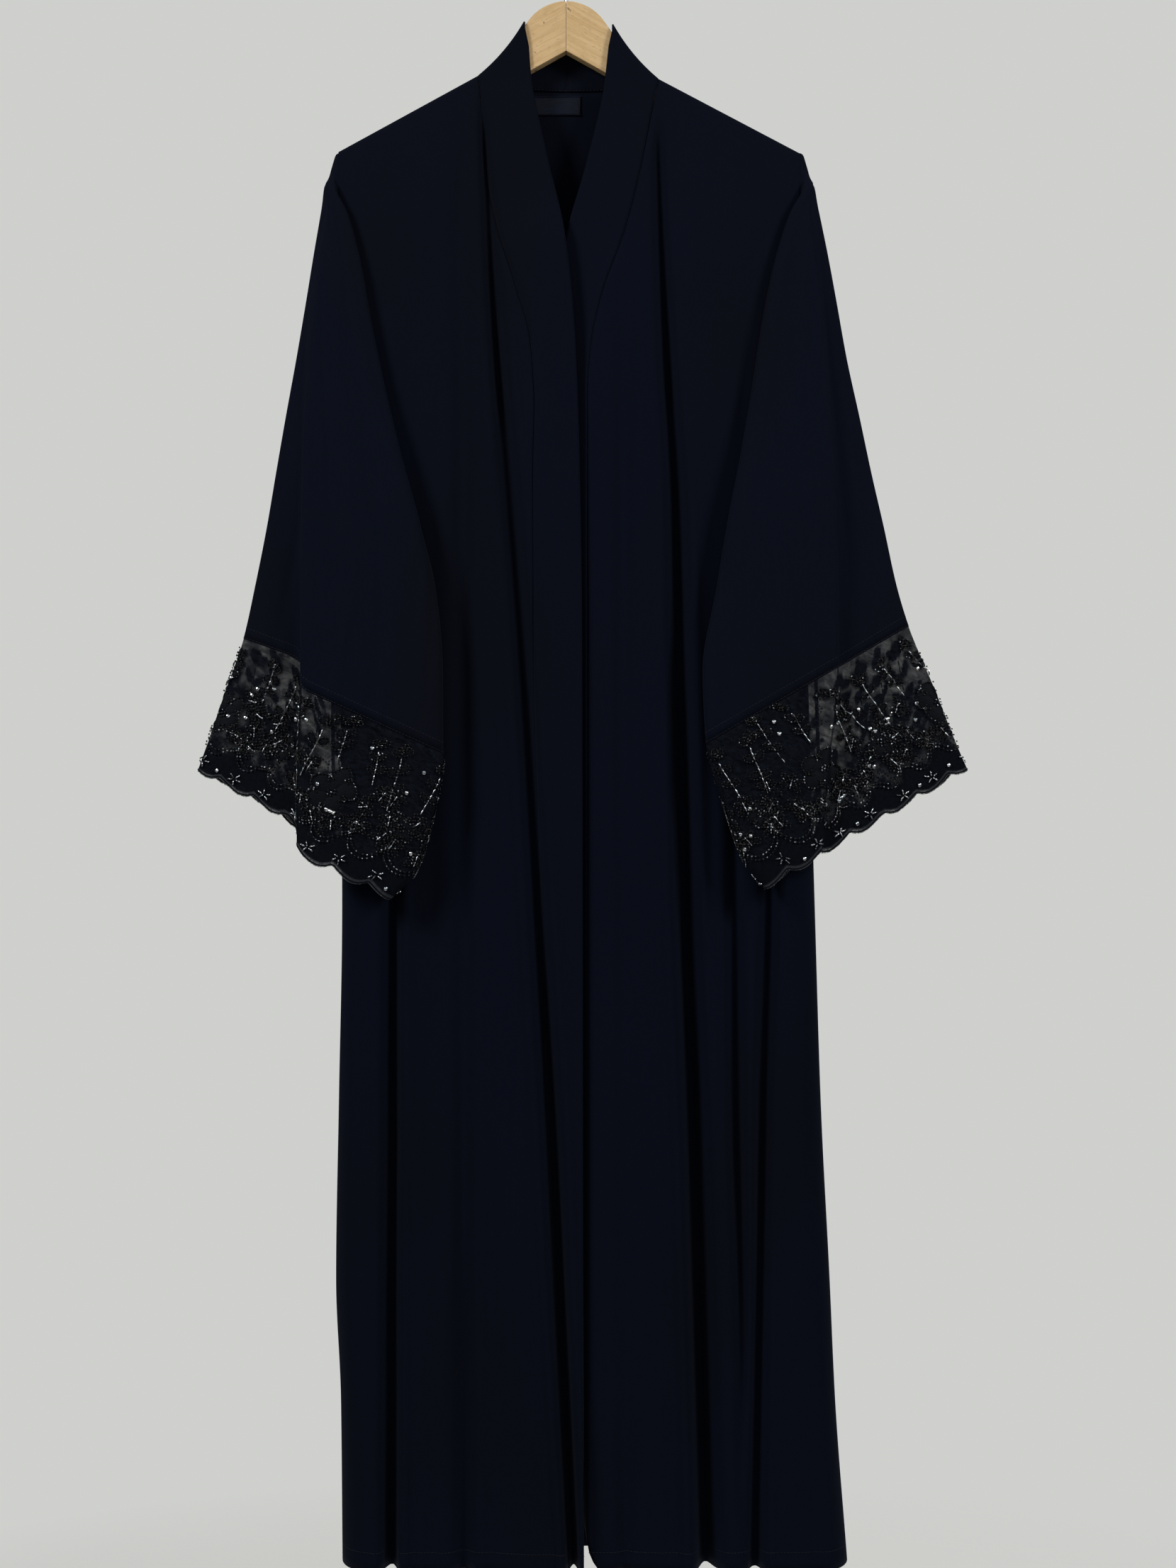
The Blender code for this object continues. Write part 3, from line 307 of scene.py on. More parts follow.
# A section's points, as offsets outwards and backwards: the turn at the front of the underarm seam
# and the outer fold. Then stops along the hidden layer, the visible layer, the crease's wall and
# the rear layer, and how far outside the seam the rear layer's last points lie.
SEAM_OUT = 3.5
SEAM_BACK = 0.6
SEAM_HALF = 0.4
SEAM_TURN = ((0, 0), (1.6, 0), (3.2, -1.7), (1.8, -3.4))
OUTER_FOLD = ((-1.2, -1.8), (0, 0.4), (-1.4, 2.8))
HIDDEN_STOPS = (0.1, 0.4, 0.7, 1)
VISIBLE_STOPS = (0.2, 0.42, 0.64, 0.84)
WALL_STOPS = (0.3, 0.65)
REAR_STOPS = (0.25, 0.5, 0.75)
REAR_ENDS = (3.4, 1.6, 0)
INNER_ROOM = 1.6
LIP_OUT = 1.2
VISIBLE_BELLY = 0.18
REAR_BELLY = 2
SLIP_DOWN = 15
SLIP_UP = 11
REAR_UP = 9
LAYER_GAP = 3.6
STAND_OFF = 5
STAND_OFF_FROM = -400
STAND_OFF_OVER = 150
HIDDEN_INSET = 8
SCALLOP_PITCH = 35
SCALLOP_DEPTH = 7.5

# Creases down the arm: where each starts and ends along the sleeve (1 is its hem, more is on the
# cuff), its place round the section at both ends, its depth (a ridge is negative) and half-width.
ARM_CREASE_COLUMNS = ("from", "to", "start", "end", "depth", "half")
ARM_CREASES = {
    "left": (
        (0.1, 0.8, 0.4, 0.44, 1, 0.03),
        (0.3, 1.15, 0.36, 0.34, -1.3, 0.024),
        (0.45, 1.3, 0.47, 0.45, 1.5, 0.026),
        (0.55, 1.25, 0.54, 0.53, -1.1, 0.02),
        (0.35, 0.9, 0.59, 0.58, 0.9, 0.016),
        (0.4, 1.2, 0.71, 0.72, 0.9, 0.016),
        (0.72, 1.02, 0.31, 0.35, 1.6, 0.016),
        (0.86, 1.22, 0.4, 0.42, 1.4, 0.018),
        (0.15, 0.9, 0.9, 0.87, 1.2, 0.03),
        (0.4, 1.2, 0.96, 0.94, -1, 0.02),
    ),
    "right": (
        (0.1, 0.7, 0.42, 0.4, 1, 0.03),
        (0.25, 1.1, 0.35, 0.37, -1.2, 0.024),
        (0.4, 1.25, 0.43, 0.45, 1.3, 0.028),
        (0.5, 1.2, 0.5, 0.52, -1.1, 0.02),
        (0.3, 1, 0.66, 0.68, 1, 0.02),
        (0.55, 1.25, 0.72, 0.71, -0.9, 0.016),
        (0.75, 1.05, 0.32, 0.33, 1.2, 0.016),
        (0.2, 0.95, 0.88, 0.9, 1.2, 0.03),
        (0.45, 1.2, 0.95, 0.93, -1, 0.02),
    ),
}
COLUMN_SPACING = 2.2
ACROSS = {"front": 92, "band": 18, "back": 150}
# The label's two edges across and down with its points that way, and how it lies on the back.
LABEL_X = (-36, 13, 26)
LABEL_Z = (-145.5, -162, 10)
LABEL = {"thick": 0.5, "gap": 1, "fold": 0.5, "fold_half": 2.5, "wave": 0.25, "wave_length": 9}
LABEL_CORD = 0.42
BAND_CRINKLE = 0.8
SEWN_LIFT = 0.45
CUFF_JOIN_ROWS = (1.4, 10)
STITCH_POINTS = 260
SEAM_STITCHES = {"Pitch": 3.2, "Length": 2.3, "Thread": 0.45}
LABEL_STITCHES = {"Pitch": 2.1, "Length": 1.6, "Thread": 0.4}
HANGER_LEAN = math.radians(28.6)

# The cuffs' beads: shape, finish, length, width and height, and how far each stands off the cloth.
BEAD_SIZES = ("Length", "Width", "Height")
BUGLE_LENGTH = 4.6
BEADS = {
    "black": ("rice bead", "glass", (2.3, 1.7, 1.7), 0.6),
    "silver": ("rice bead", "rice", (2.3, 1.7, 1.7), 0.6),
    "bugle": ("bugle", "bugles", (BUGLE_LENGTH, 1.25, 1.25), 0.6),
    "sequin": ("sequin", "sequins", (4.2, 4.2, 0.5), 1),
}
RICE_SPACING = 3
LEVEL_STEP = 3
EDGE_MARGIN = 3
TOP_MARGIN = 2
RAW_EDGE = 1.6
SWAG_TOP = 38
SWAG_DROP = 17
STAR_HEIGHT = 11
BEAD_TILT = 0.2
CORD_RADIUS = 0.8
CORD_POINTS = 400
# How solidly the ground is worked: in a petal, and at least so much below a height that fades.
PETAL_COVER = 0.9
GROUND_COVER = {"least": 0.16, "top": 96, "fade": 50}
PETAL_RISE = 0.9
PETAL_STEPS = 6
PETAL_ACROSS = (-0.92, -0.5, 0, 0.5, 0.92)
# The embroidery's repeat, four lobes long: place along it as a share of its length, height as a
# share of the cuff's, and the radius of a flower or the length of a spray's leaves.
FLOWERS = ((-0.02, 0.47, 21), (0.47, 0.42, 14))
SPRAYS = (
    (-0.40, 0.50, 10),
    (-0.21, 0.62, 9),
    (0.03, 0.66, 8.5),
    (0.23, 0.46, 10.5),
    (0.42, 0.58, 9),
)
LEAVES = (-0.25, 0.24)
# A spray's leaves: place along the stem, and the angle away from it.
SPRAY_LEAVES = (
    (0.30, -0.95),
    (0.34, 0.95),
    (0.64, -0.85),
    (0.68, 0.85),
    (1, -0.75),
    (1.03, 0),
    (1, 0.75),
)
SPRIG_LEAVES = (-1, 0, 1, 2.4, -2.4)
SPRIG_COLUMNS = 7
SPRIG_ROWS = 3
SPRIG_RISE = 17
SWAG_ROWS = (1.6, 6.2)
FLOWER_PETALS = 5
FLOWER_RING = 3.1
STAR_BUGLES = 5
LOOSE_SEQUINS = 9

# Stage, in metres and watts: lamp, power, width and place.
PICTURE_HEIGHT = 1.438
SENSOR = 36
FLOOR_Z = -1.95
FLOOR_FADE = (1, 1.7)
FLOOR_CORNERS = 64
LAMP_AIM_Z = -0.7
LAMPS = (
    ("left lamp", 78, 0.8, (-2.3, -1.6, 1.1)),
    ("right lamp", 62, 0.8, (2.4, -1.6, 0.9)),
    ("front fill lamp", 7, 1.2, (0.2, -2.6, -0.2)),
    ("back lamp", 40, 1.4, (0.8, 2.4, 0.6)),
)

# ---------------------------------------------------------------- curves through tables


def curve_through(position, knots, values):
    """A smooth curve through a table's points that never overshoots them; knots ascend."""
    knots = np.asarray(knots, float)
    values = np.asarray(values, float)
    widths = np.diff(knots)
    slopes = np.diff(values) / widths
    tangents = np.zeros(len(knots))
    tangents[[0, -1]] = slopes[[0, -1]]
    for i in range(1, len(knots) - 1):
        if slopes[i - 1] * slopes[i] > 0:
            before = 2 * widths[i] + widths[i - 1]
            after = widths[i] + 2 * widths[i - 1]
            tangents[i] = (before + after) / (before / slopes[i - 1] + after / slopes[i])
    position = np.clip(np.asarray(position, float), knots[0], knots[-1])
    i = np.clip(np.searchsorted(knots, position) - 1, 0, len(knots) - 2)
    t = (position - knots[i]) / widths[i]
    start = values[i] * (1 + 2 * t) * (1 - t) ** 2 + tangents[i] * widths[i] * t * (1 - t) ** 2
    end = values[i + 1] * t * t * (3 - 2 * t) + tangents[i + 1] * widths[i] * t * t * (t - 1)
    return start + end


def at_height(z, table, name):
    """A column of a table whose heights run downwards."""
    return curve_through(-np.asarray(z, float), [-h for h in table["z"]], table[name])


def ease(t):
    t = np.clip(t, 0.0, 1.0)
    return t * t * (3 - 2 * t)


def run_of(points, axis=0):
    """How far every point lies along its path, or along its line of a grid."""
    sizes = np.linalg.norm(np.diff(points, axis=axis), axis=-1)
    return np.insert(np.cumsum(sizes, axis=axis), 0, 0.0, axis=axis)


# ---------------------------------------------------------------- the body's surface


def shoulder_z(side, x):
    neck_x, neck_z = SIDES[side]["neck"]
    end_x, end_z = SIDES[side]["corner"]
    t = np.clip((np.asarray(x, float) - neck_x) / (end_x - neck_x), 0.0, 1.0)
    return neck_z + (end_z - neck_z) * t


def side_x(side, z):
    seam = at_height(z, SIDE_SEAMS, side)
    return np.where(np.asarray(z) >= UNDERARM_Z, SIDES[side]["corner"][0], seam)


def slit_half(z):
    """Half the space between front and back at the side: the armhole, then the closed seam."""
    return np.where(np.asarray(z) >= UNDERARM_Z, at_height(z, ARMHOLE_SLIT, "half"), 0.0)


def folded(x, z, folds):
    """Depth of the main folds: each is a rounded trough between two low lips."""
    total = np.zeros(np.broadcast(x, z).shape)
    for fold in folds:
        place, depth, half = (curve_through(-z, [-h for h in FOLD_Z], line) for line in fold)
        s = (x - place) / half
        inside = np.where(np.abs(s) < 1, 0.5 + 0.5 * np.cos(np.pi * np.clip(s, -1, 1)), 0.0)
        lips = np.exp(-(((np.abs(s) - LIP["at"]) / LIP["half"]) ** 2))
        total = total + depth * (inside - LIP["rise"] * lips)
    return total


def creased(x, z, creases):
    """Soft troughs and ridges along short, slightly bent lines."""
    total = np.zeros(np.broadcast(x, z).shape)
    for number, row in enumerate(creases):
        crease = dict(zip(CREASE_COLUMNS, row, strict=True))
        t = (crease["z_top"] - z) / (crease["z_top"] - crease["z_low"])
        bend = CREASE_BEND * np.sin(t * 3.1 + number)
        line = crease["x_top"] + (crease["x_low"] - crease["x_top"]) * t + bend
        s = (x - line) / (crease["half"] * (1 + CREASE_SWELL * np.sin(2.3 * t + 1.7 * number)))
        open_low = 1.0 if crease["z_low"] <= HEM_Z else ease((z - crease["z_low"]) / crease["fade"])
        ends = ease((crease["z_top"] - z) / crease["fade"]) * open_low
        total = total + crease["depth"] * np.exp(-(s**2) * CREASE_FALLOFF) * ends
    return total


def rim(side, x, z):
    """0 at the side edge and 1 where the panel is flat: a soft turn, or a half round lower down."""
    inside = np.clip(np.abs(side_x(side, z) - x) / SIDE_ROUND, 0.0, 1.0)
    soft = np.sin(0.5 * np.pi * inside)
    round_turn = np.sqrt(np.clip(1 - (1 - inside) ** 2, 0.0, 1.0))
    return soft + (round_turn - soft) * ease((UNDERARM_Z - z) / SIDE_ROUND_FROM)


def smooth_y(face, side, x, z):
    """How far a panel stands off the middle plane before it has any fold."""
    depth = HANGER_CLEAR + curve_through(shoulder_z(side, x) - z, DEPTHS["below"], DEPTHS[face])
    half = slit_half(z)
    return half + (depth - half) * rim(side, x, z)


def panel_y(face, side, x, z):
    folds, creases = (FRONT_FOLDS, FRONT_CREASES) if face == "front" else (BACK_FOLDS, BACK_CREASES)
    below = shoulder_z(side, x) - z
    y = smooth_y(face, side, x, z) - folded(x, z, folds) * ease(below / FOLD_FADE)
    return y - creased(x, z, creases) * rim(side, x, z) * ease(below / CREASE_FADE)


def seam_groove(side, x, z):
    """The groove along the seam between front and band, down to where the band hangs straight."""
    across = np.exp(-(((x - at_height(z, BAND_SEAMS[side], "x")) / SEAM_GROOVE["half"]) ** 2))
    return SEAM_GROOVE["depth"] * across * ease((z - BAND_FROM_Z) / SEAM_GROOVE["fade"])


def front_y(side, x, z):
    y = -panel_y("front", side, x, z)
    if side == "left":
        (from_x, over_x), (from_z, over_z) = OVERLAP_FROM.values()
        y = y - OVERLAP_LIFT * ease((x - from_x) / over_x) * ease((from_z - z) / over_z)
    return y + seam_groove(side, x, z) * ease((shoulder_z(side, x) - z) / CREASE_FADE)


def back_y(x, z):
    return np.where(x < 0, panel_y("back", "left", x, z), panel_y("back", "right", x, z))


# ---------------------------------------------------------------- paths and grids


def even_points(path, count, start_gap=0.0):
    """Points at even distances along a dense path."""
    run = run_of(path)
    stops = np.linspace(start_gap, run[-1], count)
    return np.stack([np.interp(stops, run, path[:, k]) for k in range(3)], axis=1)


def between_rows(rows, steps):
    """More rows between the given ones, each coordinate on a smooth curve down the piece."""
    rows = np.asarray(rows, float)
    places = [0.0]
    for index, count in enumerate(steps):
        places += [index + (k + 1) / count for k in range(count)]
    flat = rows.reshape(len(rows), -1)
    fine = [curve_through(places, np.arange(len(rows)), column) for column in flat.T]
    return np.stack(fine, axis=1).reshape(len(places), *rows.shape[1:])


def body_heights():
    """Fine rows of the body, as heights at the side, the band's seam and the free edge."""
    return between_rows(np.transpose(list(BODY_ROWS.values())), BODY_STEPS)


def band_seam_x(side, z):
    """Where the front panel meets the band. Low on the left it follows from the band's width."""
    if side == "right" or z >= BAND_FROM_Z:
        return float(at_height(z, BAND_SEAMS[side], "x"))
    edge = float(at_height(z, LEFT_EDGE, "x"))
    x = np.linspace(edge, edge - BAND_SEARCH, PATH_POINTS["front"])
    run = run_of(np.stack([x, front_y("left", x, z)], axis=1))
    return float(np.interp(at_height(z, BAND_WIDTHS, "width"), run, x))


def turn_path(side, drop, y):
    t = np.linspace(0.0, 1.0, PATH_POINTS["short"])
    start = SIDES[side]["corner"][0]
    x = start + (SIDES[side]["neck"][0] - start) * t
    return np.stack([x, np.full_like(x, y), shoulder_z(side, x) - drop], axis=1)


def front_panel(side, across):
    turns = zip(TURN_ROWS["drop"], TURN_ROWS["y"], strict=True)
    turn = [even_points(turn_path(side, drop, y), across) for drop, y in turns]
    body = []
    for z_side, z_seam, _ in body_heights():
        start = float(side_x(side, z_side))
        t = np.linspace(0.0, 1.0, PATH_POINTS["front"]) ** 1.5
        x = start + (band_seam_x(side, z_seam) - start) * t
        z = z_side + (z_seam - z_side) * t
        body.append(even_points(np.stack([x, front_y(side, x, z), z], axis=1), across))
    return np.concatenate([between_rows([*turn, body[0]], TURN_STEPS)[:-1], body])


def sagging(start, end, sag, count, start_gap):
    """A row from the outer seam to the inner edge that sags towards the hanger's neck."""
    start = np.asarray(start, float)
    span = end - start
    down = np.array([abs(span[2]) * np.sign(span[0]), 0.0, -abs(span[0])])
    down /= max(np.linalg.norm(down), 1e-6)
    t = np.linspace(0.0, 1.0, PATH_POINTS["short"])[:, None]
    return even_points(start + span * t + down * sag * 4 * t * (1 - t), count, start_gap)


def band_front_row(side, z_seam, z_edge, count):
    seam = band_seam_x(side, z_seam)
    if side == "left":
        t = np.linspace(0.0, 1.0, PATH_POINTS["band"])
        x = seam + (float(at_height(z_edge, LEFT_EDGE, "x")) - seam) * t
        z = z_seam + (z_edge - z_seam) * t
        return even_points(np.stack([x, front_y(side, x, z), z], axis=1), count, SEAM_GAP)
    end = (at_height(z_edge, RIGHT_EDGE, "x"), at_height(z_edge, RIGHT_EDGE, "y"), z_edge)
    y = float(front_y(side, seam, z_seam))
    return sagging((seam, y, z_seam), end, 0.0, count, SEAM_GAP)


def band_panel(side, count):
    """One half of the band: up the front edge, over the shoulder and round to the centre back."""
    sign, neck, tip = (SIDES[side][key] for key in ("sign", "neck", "tip"))
    front = [band_front_row(side, seam, edge, count) for _, seam, edge in body_heights()][::-1]
    top = [front[-1]]
    for drop, y in zip(TURN_ROWS["drop"][::-1], TURN_ROWS["y"][::-1], strict=True):
        start = (neck[0], y, neck[1] - drop)
        end = (tip[0], y * TIP_SPREAD, tip[1] - drop)
        top.append(sagging(start, end, TIP_SAG, count, SEAM_GAP / 2))
    seam = list(zip(*NECK_SEAM.values(), strict=True))
    middle = len(seam) // 2
    half = seam[1 : middle + 1] if sign < 0 else seam[middle:-1][::-1]
    for low, (x, y, z) in zip(half, BACK_BAND_TOP, strict=True):
        top.append(sagging(low, (sign * x, y, z), 0.0, count, SEAM_GAP / 2))
    return np.concatenate([front[:-1], between_rows(top, BAND_TURN_STEPS)])


def back_panel(across):
    drop, y = (TURN_ROWS["drop"][0] - LAP, TURN_ROWS["y"][0] + LAP_BEHIND)
    left, right = (turn_path(side, drop, y) for side in SIDES)
    neck_left, neck_right = NECK_SEAM["x"][0], NECK_SEAM["x"][-1]
    x = np.linspace(neck_left, neck_right, PATH_POINTS["short"])[1:-1]
    y, z = (curve_through(x, NECK_SEAM["x"], NECK_SEAM[key]) for key in "yz")
    top = np.concatenate([left, np.stack([x, y + LAP_BEHIND, z + LAP], axis=1), right[::-1]])
    from_armhole = np.minimum(top[:, 0] - top[0, 0], top[-1, 0] - top[:, 0])
    lap_end = (1.0 - ease(from_armhole / LAP_RUN_OUT))[:, None]
    top = top - lap_end * np.array([0.0, LAP_BEHIND, LAP])
    body = []
    for z_side, z_seam, _ in body_heights():
        left_x, right_x = (float(side_x(side, z_side)) for side in SIDES)
        t = np.linspace(0.0, math.pi, PATH_POINTS["back"])
        x = (left_x + right_x) / 2 - (right_x - left_x) / 2 * np.cos(t)
        reach_left = (neck_left - x) / (neck_left - left_x)
        reach_right = (x - neck_right) / (right_x - neck_right)
        reach = np.clip(np.where(x < 0, reach_left, reach_right), 0.0, 1.0)
        z = z_seam + (z_side - z_seam) * reach
        body.append(even_points(np.stack([x, back_y(x, z), z], axis=1), across))
    start = between_rows([even_points(top, across), body[0]], BACK_TURN_STEPS)[:-1]
    return np.concatenate([start, body])


# ---------------------------------------------------------------- sleeves and cuffs


def hidden_y(side, x, z):
    """The sleeve's under layer, a little in front of the body's front panel."""
    sign = SIDES[side]["sign"]
    nearest = side_x(side, z) - sign * HIDDEN_INSET
    inside = np.where(sign * x > sign * nearest, nearest, x)
    bare = -smooth_y("front", side, inside, z)
    return bare - LAYER_GAP - STAND_OFF * ease((STAND_OFF_FROM - z) / STAND_OFF_OVER)


def sleeve_section(side, row, lower_seam):
    """One section round the sleeve, from the front of the underarm seam to the back of it.
    Its points are x, y and how far each lies above the line from inner to outer fold."""
    r = dict(zip(SLEEVE_COLUMNS, row, strict=True))
    sign = SIDES[side]["sign"]
    armhole = SIDES[side]["corner"][0]
    x_in, x_lip, x_out, room, step, slip = (
        r[key] for key in ("x_in", "x_lip", "x_out", "room", "step", "slip")
    )

    def height(x):
        t = (x - x_in) / (x_out - x_in)
        return r["z_in"] + (r["z_out"] - r["z_in"]) * np.clip(t, 0.0, 1.0)

    z_arm = float(height(armhole))
    if lower_seam:
        armhole = float(side_x(side, z_arm))
        seam_x = armhole + sign * SEAM_OUT
        seam_y = float(hidden_y(side, seam_x, z_arm)) + LAYER_GAP + SEAM_BACK
        front_end, back_end = seam_y - SEAM_HALF, seam_y + SEAM_HALF
    else:
        seam_x = armhole + sign * SEAM_GAP / 2
        front_end = -float(slit_half(max(z_arm, UNDERARM_Z)))
        back_end = -front_end
    points = [(seam_x + sign * out, front_end + back, 0.0) for out, back in SEAM_TURN]
    under_end = x_in + sign * min(INNER_ROOM, room / 3)
    for t in HIDDEN_STOPS:
        x = armhole + (under_end - armhole) * t
        points.append((x, float(hidden_y(side, x, height(x))), 0.0))
    inner_y = points[-1][1]
    visible = inner_y - room
    points += [(x_in, inner_y - room * 0.5, 0.0), (under_end, visible, 0.0)]
    for t in VISIBLE_STOPS:
        x = under_end + (x_lip - under_end) * t
        belly = VISIBLE_BELLY * math.sin(math.pi * t) * room
        points.append((x, visible - belly, -SLIP_DOWN * slip * ((x - x_in) / (x_lip - x_in))))
    back_of_step = visible + step
    lip_x = x_lip + sign * LIP_OUT
    points += [
        (x_lip, visible, -SLIP_DOWN * slip),
        (x_lip - sign * 0.2 * step, visible + step * 0.55, 0.0),
        (lip_x, back_of_step, SLIP_UP * slip),
    ]
    outer, tip, rear = ((x_out + sign * out, r["y_out"] + back, 0.0) for out, back in OUTER_FOLD)
    for t in WALL_STOPS:
        y = back_of_step + (outer[1] - back_of_step) * t
        points.append((lip_x + (outer[0] - lip_x) * t, y, SLIP_UP * slip * (1 - t)))
    points += [outer, tip, rear]
    for t in REAR_STOPS:
        x = rear[0] + (seam_x + sign * REAR_ENDS[0] - rear[0]) * t
        y = rear[1] + (back_end - rear[1]) * t + REAR_BELLY * math.sin(math.pi * t)
        points.append((x, y, REAR_UP * slip * math.sin(math.pi * t)))
    points += [(seam_x + sign * out, back_end, 0.0) for out in REAR_ENDS]
    return [(x, y, float(height(x)) + extra) for x, y, extra in points]


def sleeve_top_row(side, reach, turned, z_inner, z_outer):
    """A row above the fold: half an ellipse that becomes the first section with the turn in it."""
    columns = np.arange(SLEEVE_ACROSS)
    start_out, forward, across = (
        curve_through(columns, SLEEVE_START["column"], SLEEVE_START[key])
        for key in ("out", "forward", "across")
    )
    half = float(slit_half(z_inner))
    angles = (columns / (SLEEVE_ACROSS - 1) - 0.5) * math.pi
    out = np.cos(angles) * (1 - turned) + start_out / start_out.max() * turned
    y = half * np.sin(angles) * (1 - turned) + (half * (2 * across - 1) - forward) * turned
    x = SIDES[side]["corner"][0] + SIDES[side]["sign"] * reach * out
    return np.stack([x, y, z_inner + (z_outer - z_inner) * out], axis=1)


def rounded_across(rows, times):
    """Cuts the corners of every row, so that each section becomes a soft curve; ends are kept."""
    for _ in range(times):
        first = rows[:, :-1] * 0.75 + rows[:, 1:] * 0.25
        second = rows[:, :-1] * 0.25 + rows[:, 1:] * 0.75
        middle = np.stack([first, second], axis=2).reshape(len(rows), -1, 3)
        rows = np.concatenate([rows[:, :1], middle[:, 1:-1], rows[:, -1:]], axis=1)
    return rows


def even_rows(rows, spacing):
    """Each stretch between two columns cut into the same number of parts in every row."""
    made = [rows[:, 0]]
    for j, length in enumerate(np.diff(run_of(rows, 1)).mean(axis=0)):
        start, end = rows[:, j], rows[:, j + 1]
        parts = max(1, round(length / spacing))
        made += [start + (end - start) * k / parts for k in range(1, parts + 1)]
    return np.stack(made, axis=1)


def outward(side, rows):
    """Unit normals of the outer face of a grid that runs round an arm."""
    normal = np.cross(np.gradient(rows, axis=1), np.gradient(rows, axis=0)) * -SIDES[side]["sign"]
    return normal / np.maximum(np.linalg.norm(normal, axis=2, keepdims=True), 1e-9)


def arm_grid(side):
    """The sleeve and its cuff as one fine grid, with the row where the cuff starts."""
    rows = [sleeve_top_row(side, *row) for row in SLEEVE_TOP_ROWS]
    for index, row in enumerate(SLEEVE_ROWS[side] + CUFF_ROWS[side]):
        rows.append(sleeve_section(side, row, index > SLEEVE_UNDERARM_ROW))
    fine = between_rows(rounded_across(np.array(rows), 2), ARM_STEPS)
    cuff_from = len(SLEEVE_TOP_ROWS) + len(SLEEVE_ROWS[side]) - 1
    return even_rows(fine, COLUMN_SPACING), sum(ARM_STEPS[:cuff_from])


def arm_creases(rows, side, cuff_row):
    """Soft creases that fall down the arm, strongest on the visible layer, faded at the armhole."""
    run = run_of(rows, 1)
    around = run / run[:, -1:]
    down = np.linspace(0.0, 1.0, len(rows))[:, None] * len(rows) / cuff_row
    total = np.zeros(around.shape)
    for number, row in enumerate(ARM_CREASES[side]):
        crease = dict(zip(ARM_CREASE_COLUMNS, row, strict=True))
        t = np.clip((down - crease["from"]) / (crease["to"] - crease["from"]), 0.0, 1.0)
        line = crease["start"] + (crease["end"] - crease["start"]) * t
        line = line + 0.006 * np.sin(5 * t + number)
        s = (around - line) / crease["half"]
        total += crease["depth"] * np.exp(-(s**2) * CREASE_FALLOFF) * np.sin(np.pi * t) ** 0.6
    return rows - outward(side, rows) * total[..., None]


@functools.cache
def arm_pieces(side):
    """The sleeve, and the cuff sewn to it, with the cuff's edge cut in scallops."""
    rows, cuff_row = arm_grid(side)
    rows = arm_creases(rows, side, cuff_row)
    cuff = rows[cuff_row:].copy()
    run = run_of(cuff[-1])
    lobes = round(run[-1] / SCALLOP_PITCH)
    edge = SCALLOP_DEPTH * (np.abs(np.sin(math.pi * lobes * run / run[-1])) - 0.6)
    weight = ease(np.linspace(0.0, 1.0, len(cuff)) ** 2)[:, None]
    cuff[:, :, 2] -= edge[None, :] * weight
    return rows[: cuff_row + 1], cuff


# ---------------------------------------------------------------- materials


def linear(hex_colour):
    """A colour given as sRGB hex, as the linear values that shaders use."""
    channels = [int(hex_colour[i : i + 2], 16) / 255 for i in (1, 3, 5)]
    made = [c / 12.92 if c <= 0.04045 else ((c + 0.055) / 1.055) ** 2.4 for c in channels]
    return (*made, 1.0)


def add(tree, kind, inputs=None, **settings):
    """Adds a node, sets its properties, and fills or links its inputs. A node given as an input
    is linked by its first output."""
    made = tree.nodes.new(kind)
    for key, value in settings.items():
        setattr(made, key, value)
    for key, value in (inputs or {}).items():
        if isinstance(value, bpy.types.Node):
            value = value.outputs[0]
        if isinstance(value, bpy.types.NodeSocket):
            tree.links.new(value, made.inputs[key])
        else:
            made.inputs[key].default_value = value
    return made


def new_material(name, sockets):
    """A Principled material with its constant values on the shader's own sockets."""
    material = bpy.data.materials.new(name)
    material.use_nodes = True
    shader = material.node_tree.nodes["Principled BSDF"]
    for key, value in sockets.items():
        shader.inputs[key].default_value = value
    return material, material.node_tree, shader


def pattern(tree, cell, low, high, most=1.0, detail=2.0, lean=0.0, warp=0.0):
    """Clouds whose cells measure so many mm along X, Y and Z, as a factor from 0 to most."""
    where = add(tree, "ShaderNodeTexCoord").outputs["Object"]
    inputs = {"Vector": where, "Scale": [size * MM for size in cell], "Rotation": (0, lean, 0)}
    placed = add(tree, "ShaderNodeMapping", inputs, vector_type="TEXTURE")
    inputs = {"Vector": placed, "Scale": 1.0, "Detail": detail, "Roughness": 0.6}
    inputs["Distortion"] = warp
    clouds = add(tree, "ShaderNodeTexNoise", inputs)
    inputs = {"Value": clouds, "From Min": low, "From Max": high, "To Max": most}
    return add(tree, "ShaderNodeMapRange", inputs)


def toned(tree, base, *tones):
    """A colour with tones laid over it, each through a factor of its own."""
    for tone, amount in tones:
        inputs = {0: amount, 6: base, 7: linear(tone) if isinstance(tone, str) else tone}
        base = add(tree, "ShaderNodeMix", inputs, data_type="RGBA").outputs[2]
    return base


def dress(tree, shader, colour, height, strength, depth):
    """Links a colour and a relief, whose depth is in mm, to the shader."""
    tree.links.new(colour, shader.inputs["Base Color"])
    inputs = {"Height": height, "Strength": strength, "Distance": depth * MM}
    tree.links.new(add(tree, "ShaderNodeBump", inputs).outputs["Normal"], shader.inputs["Normal"])


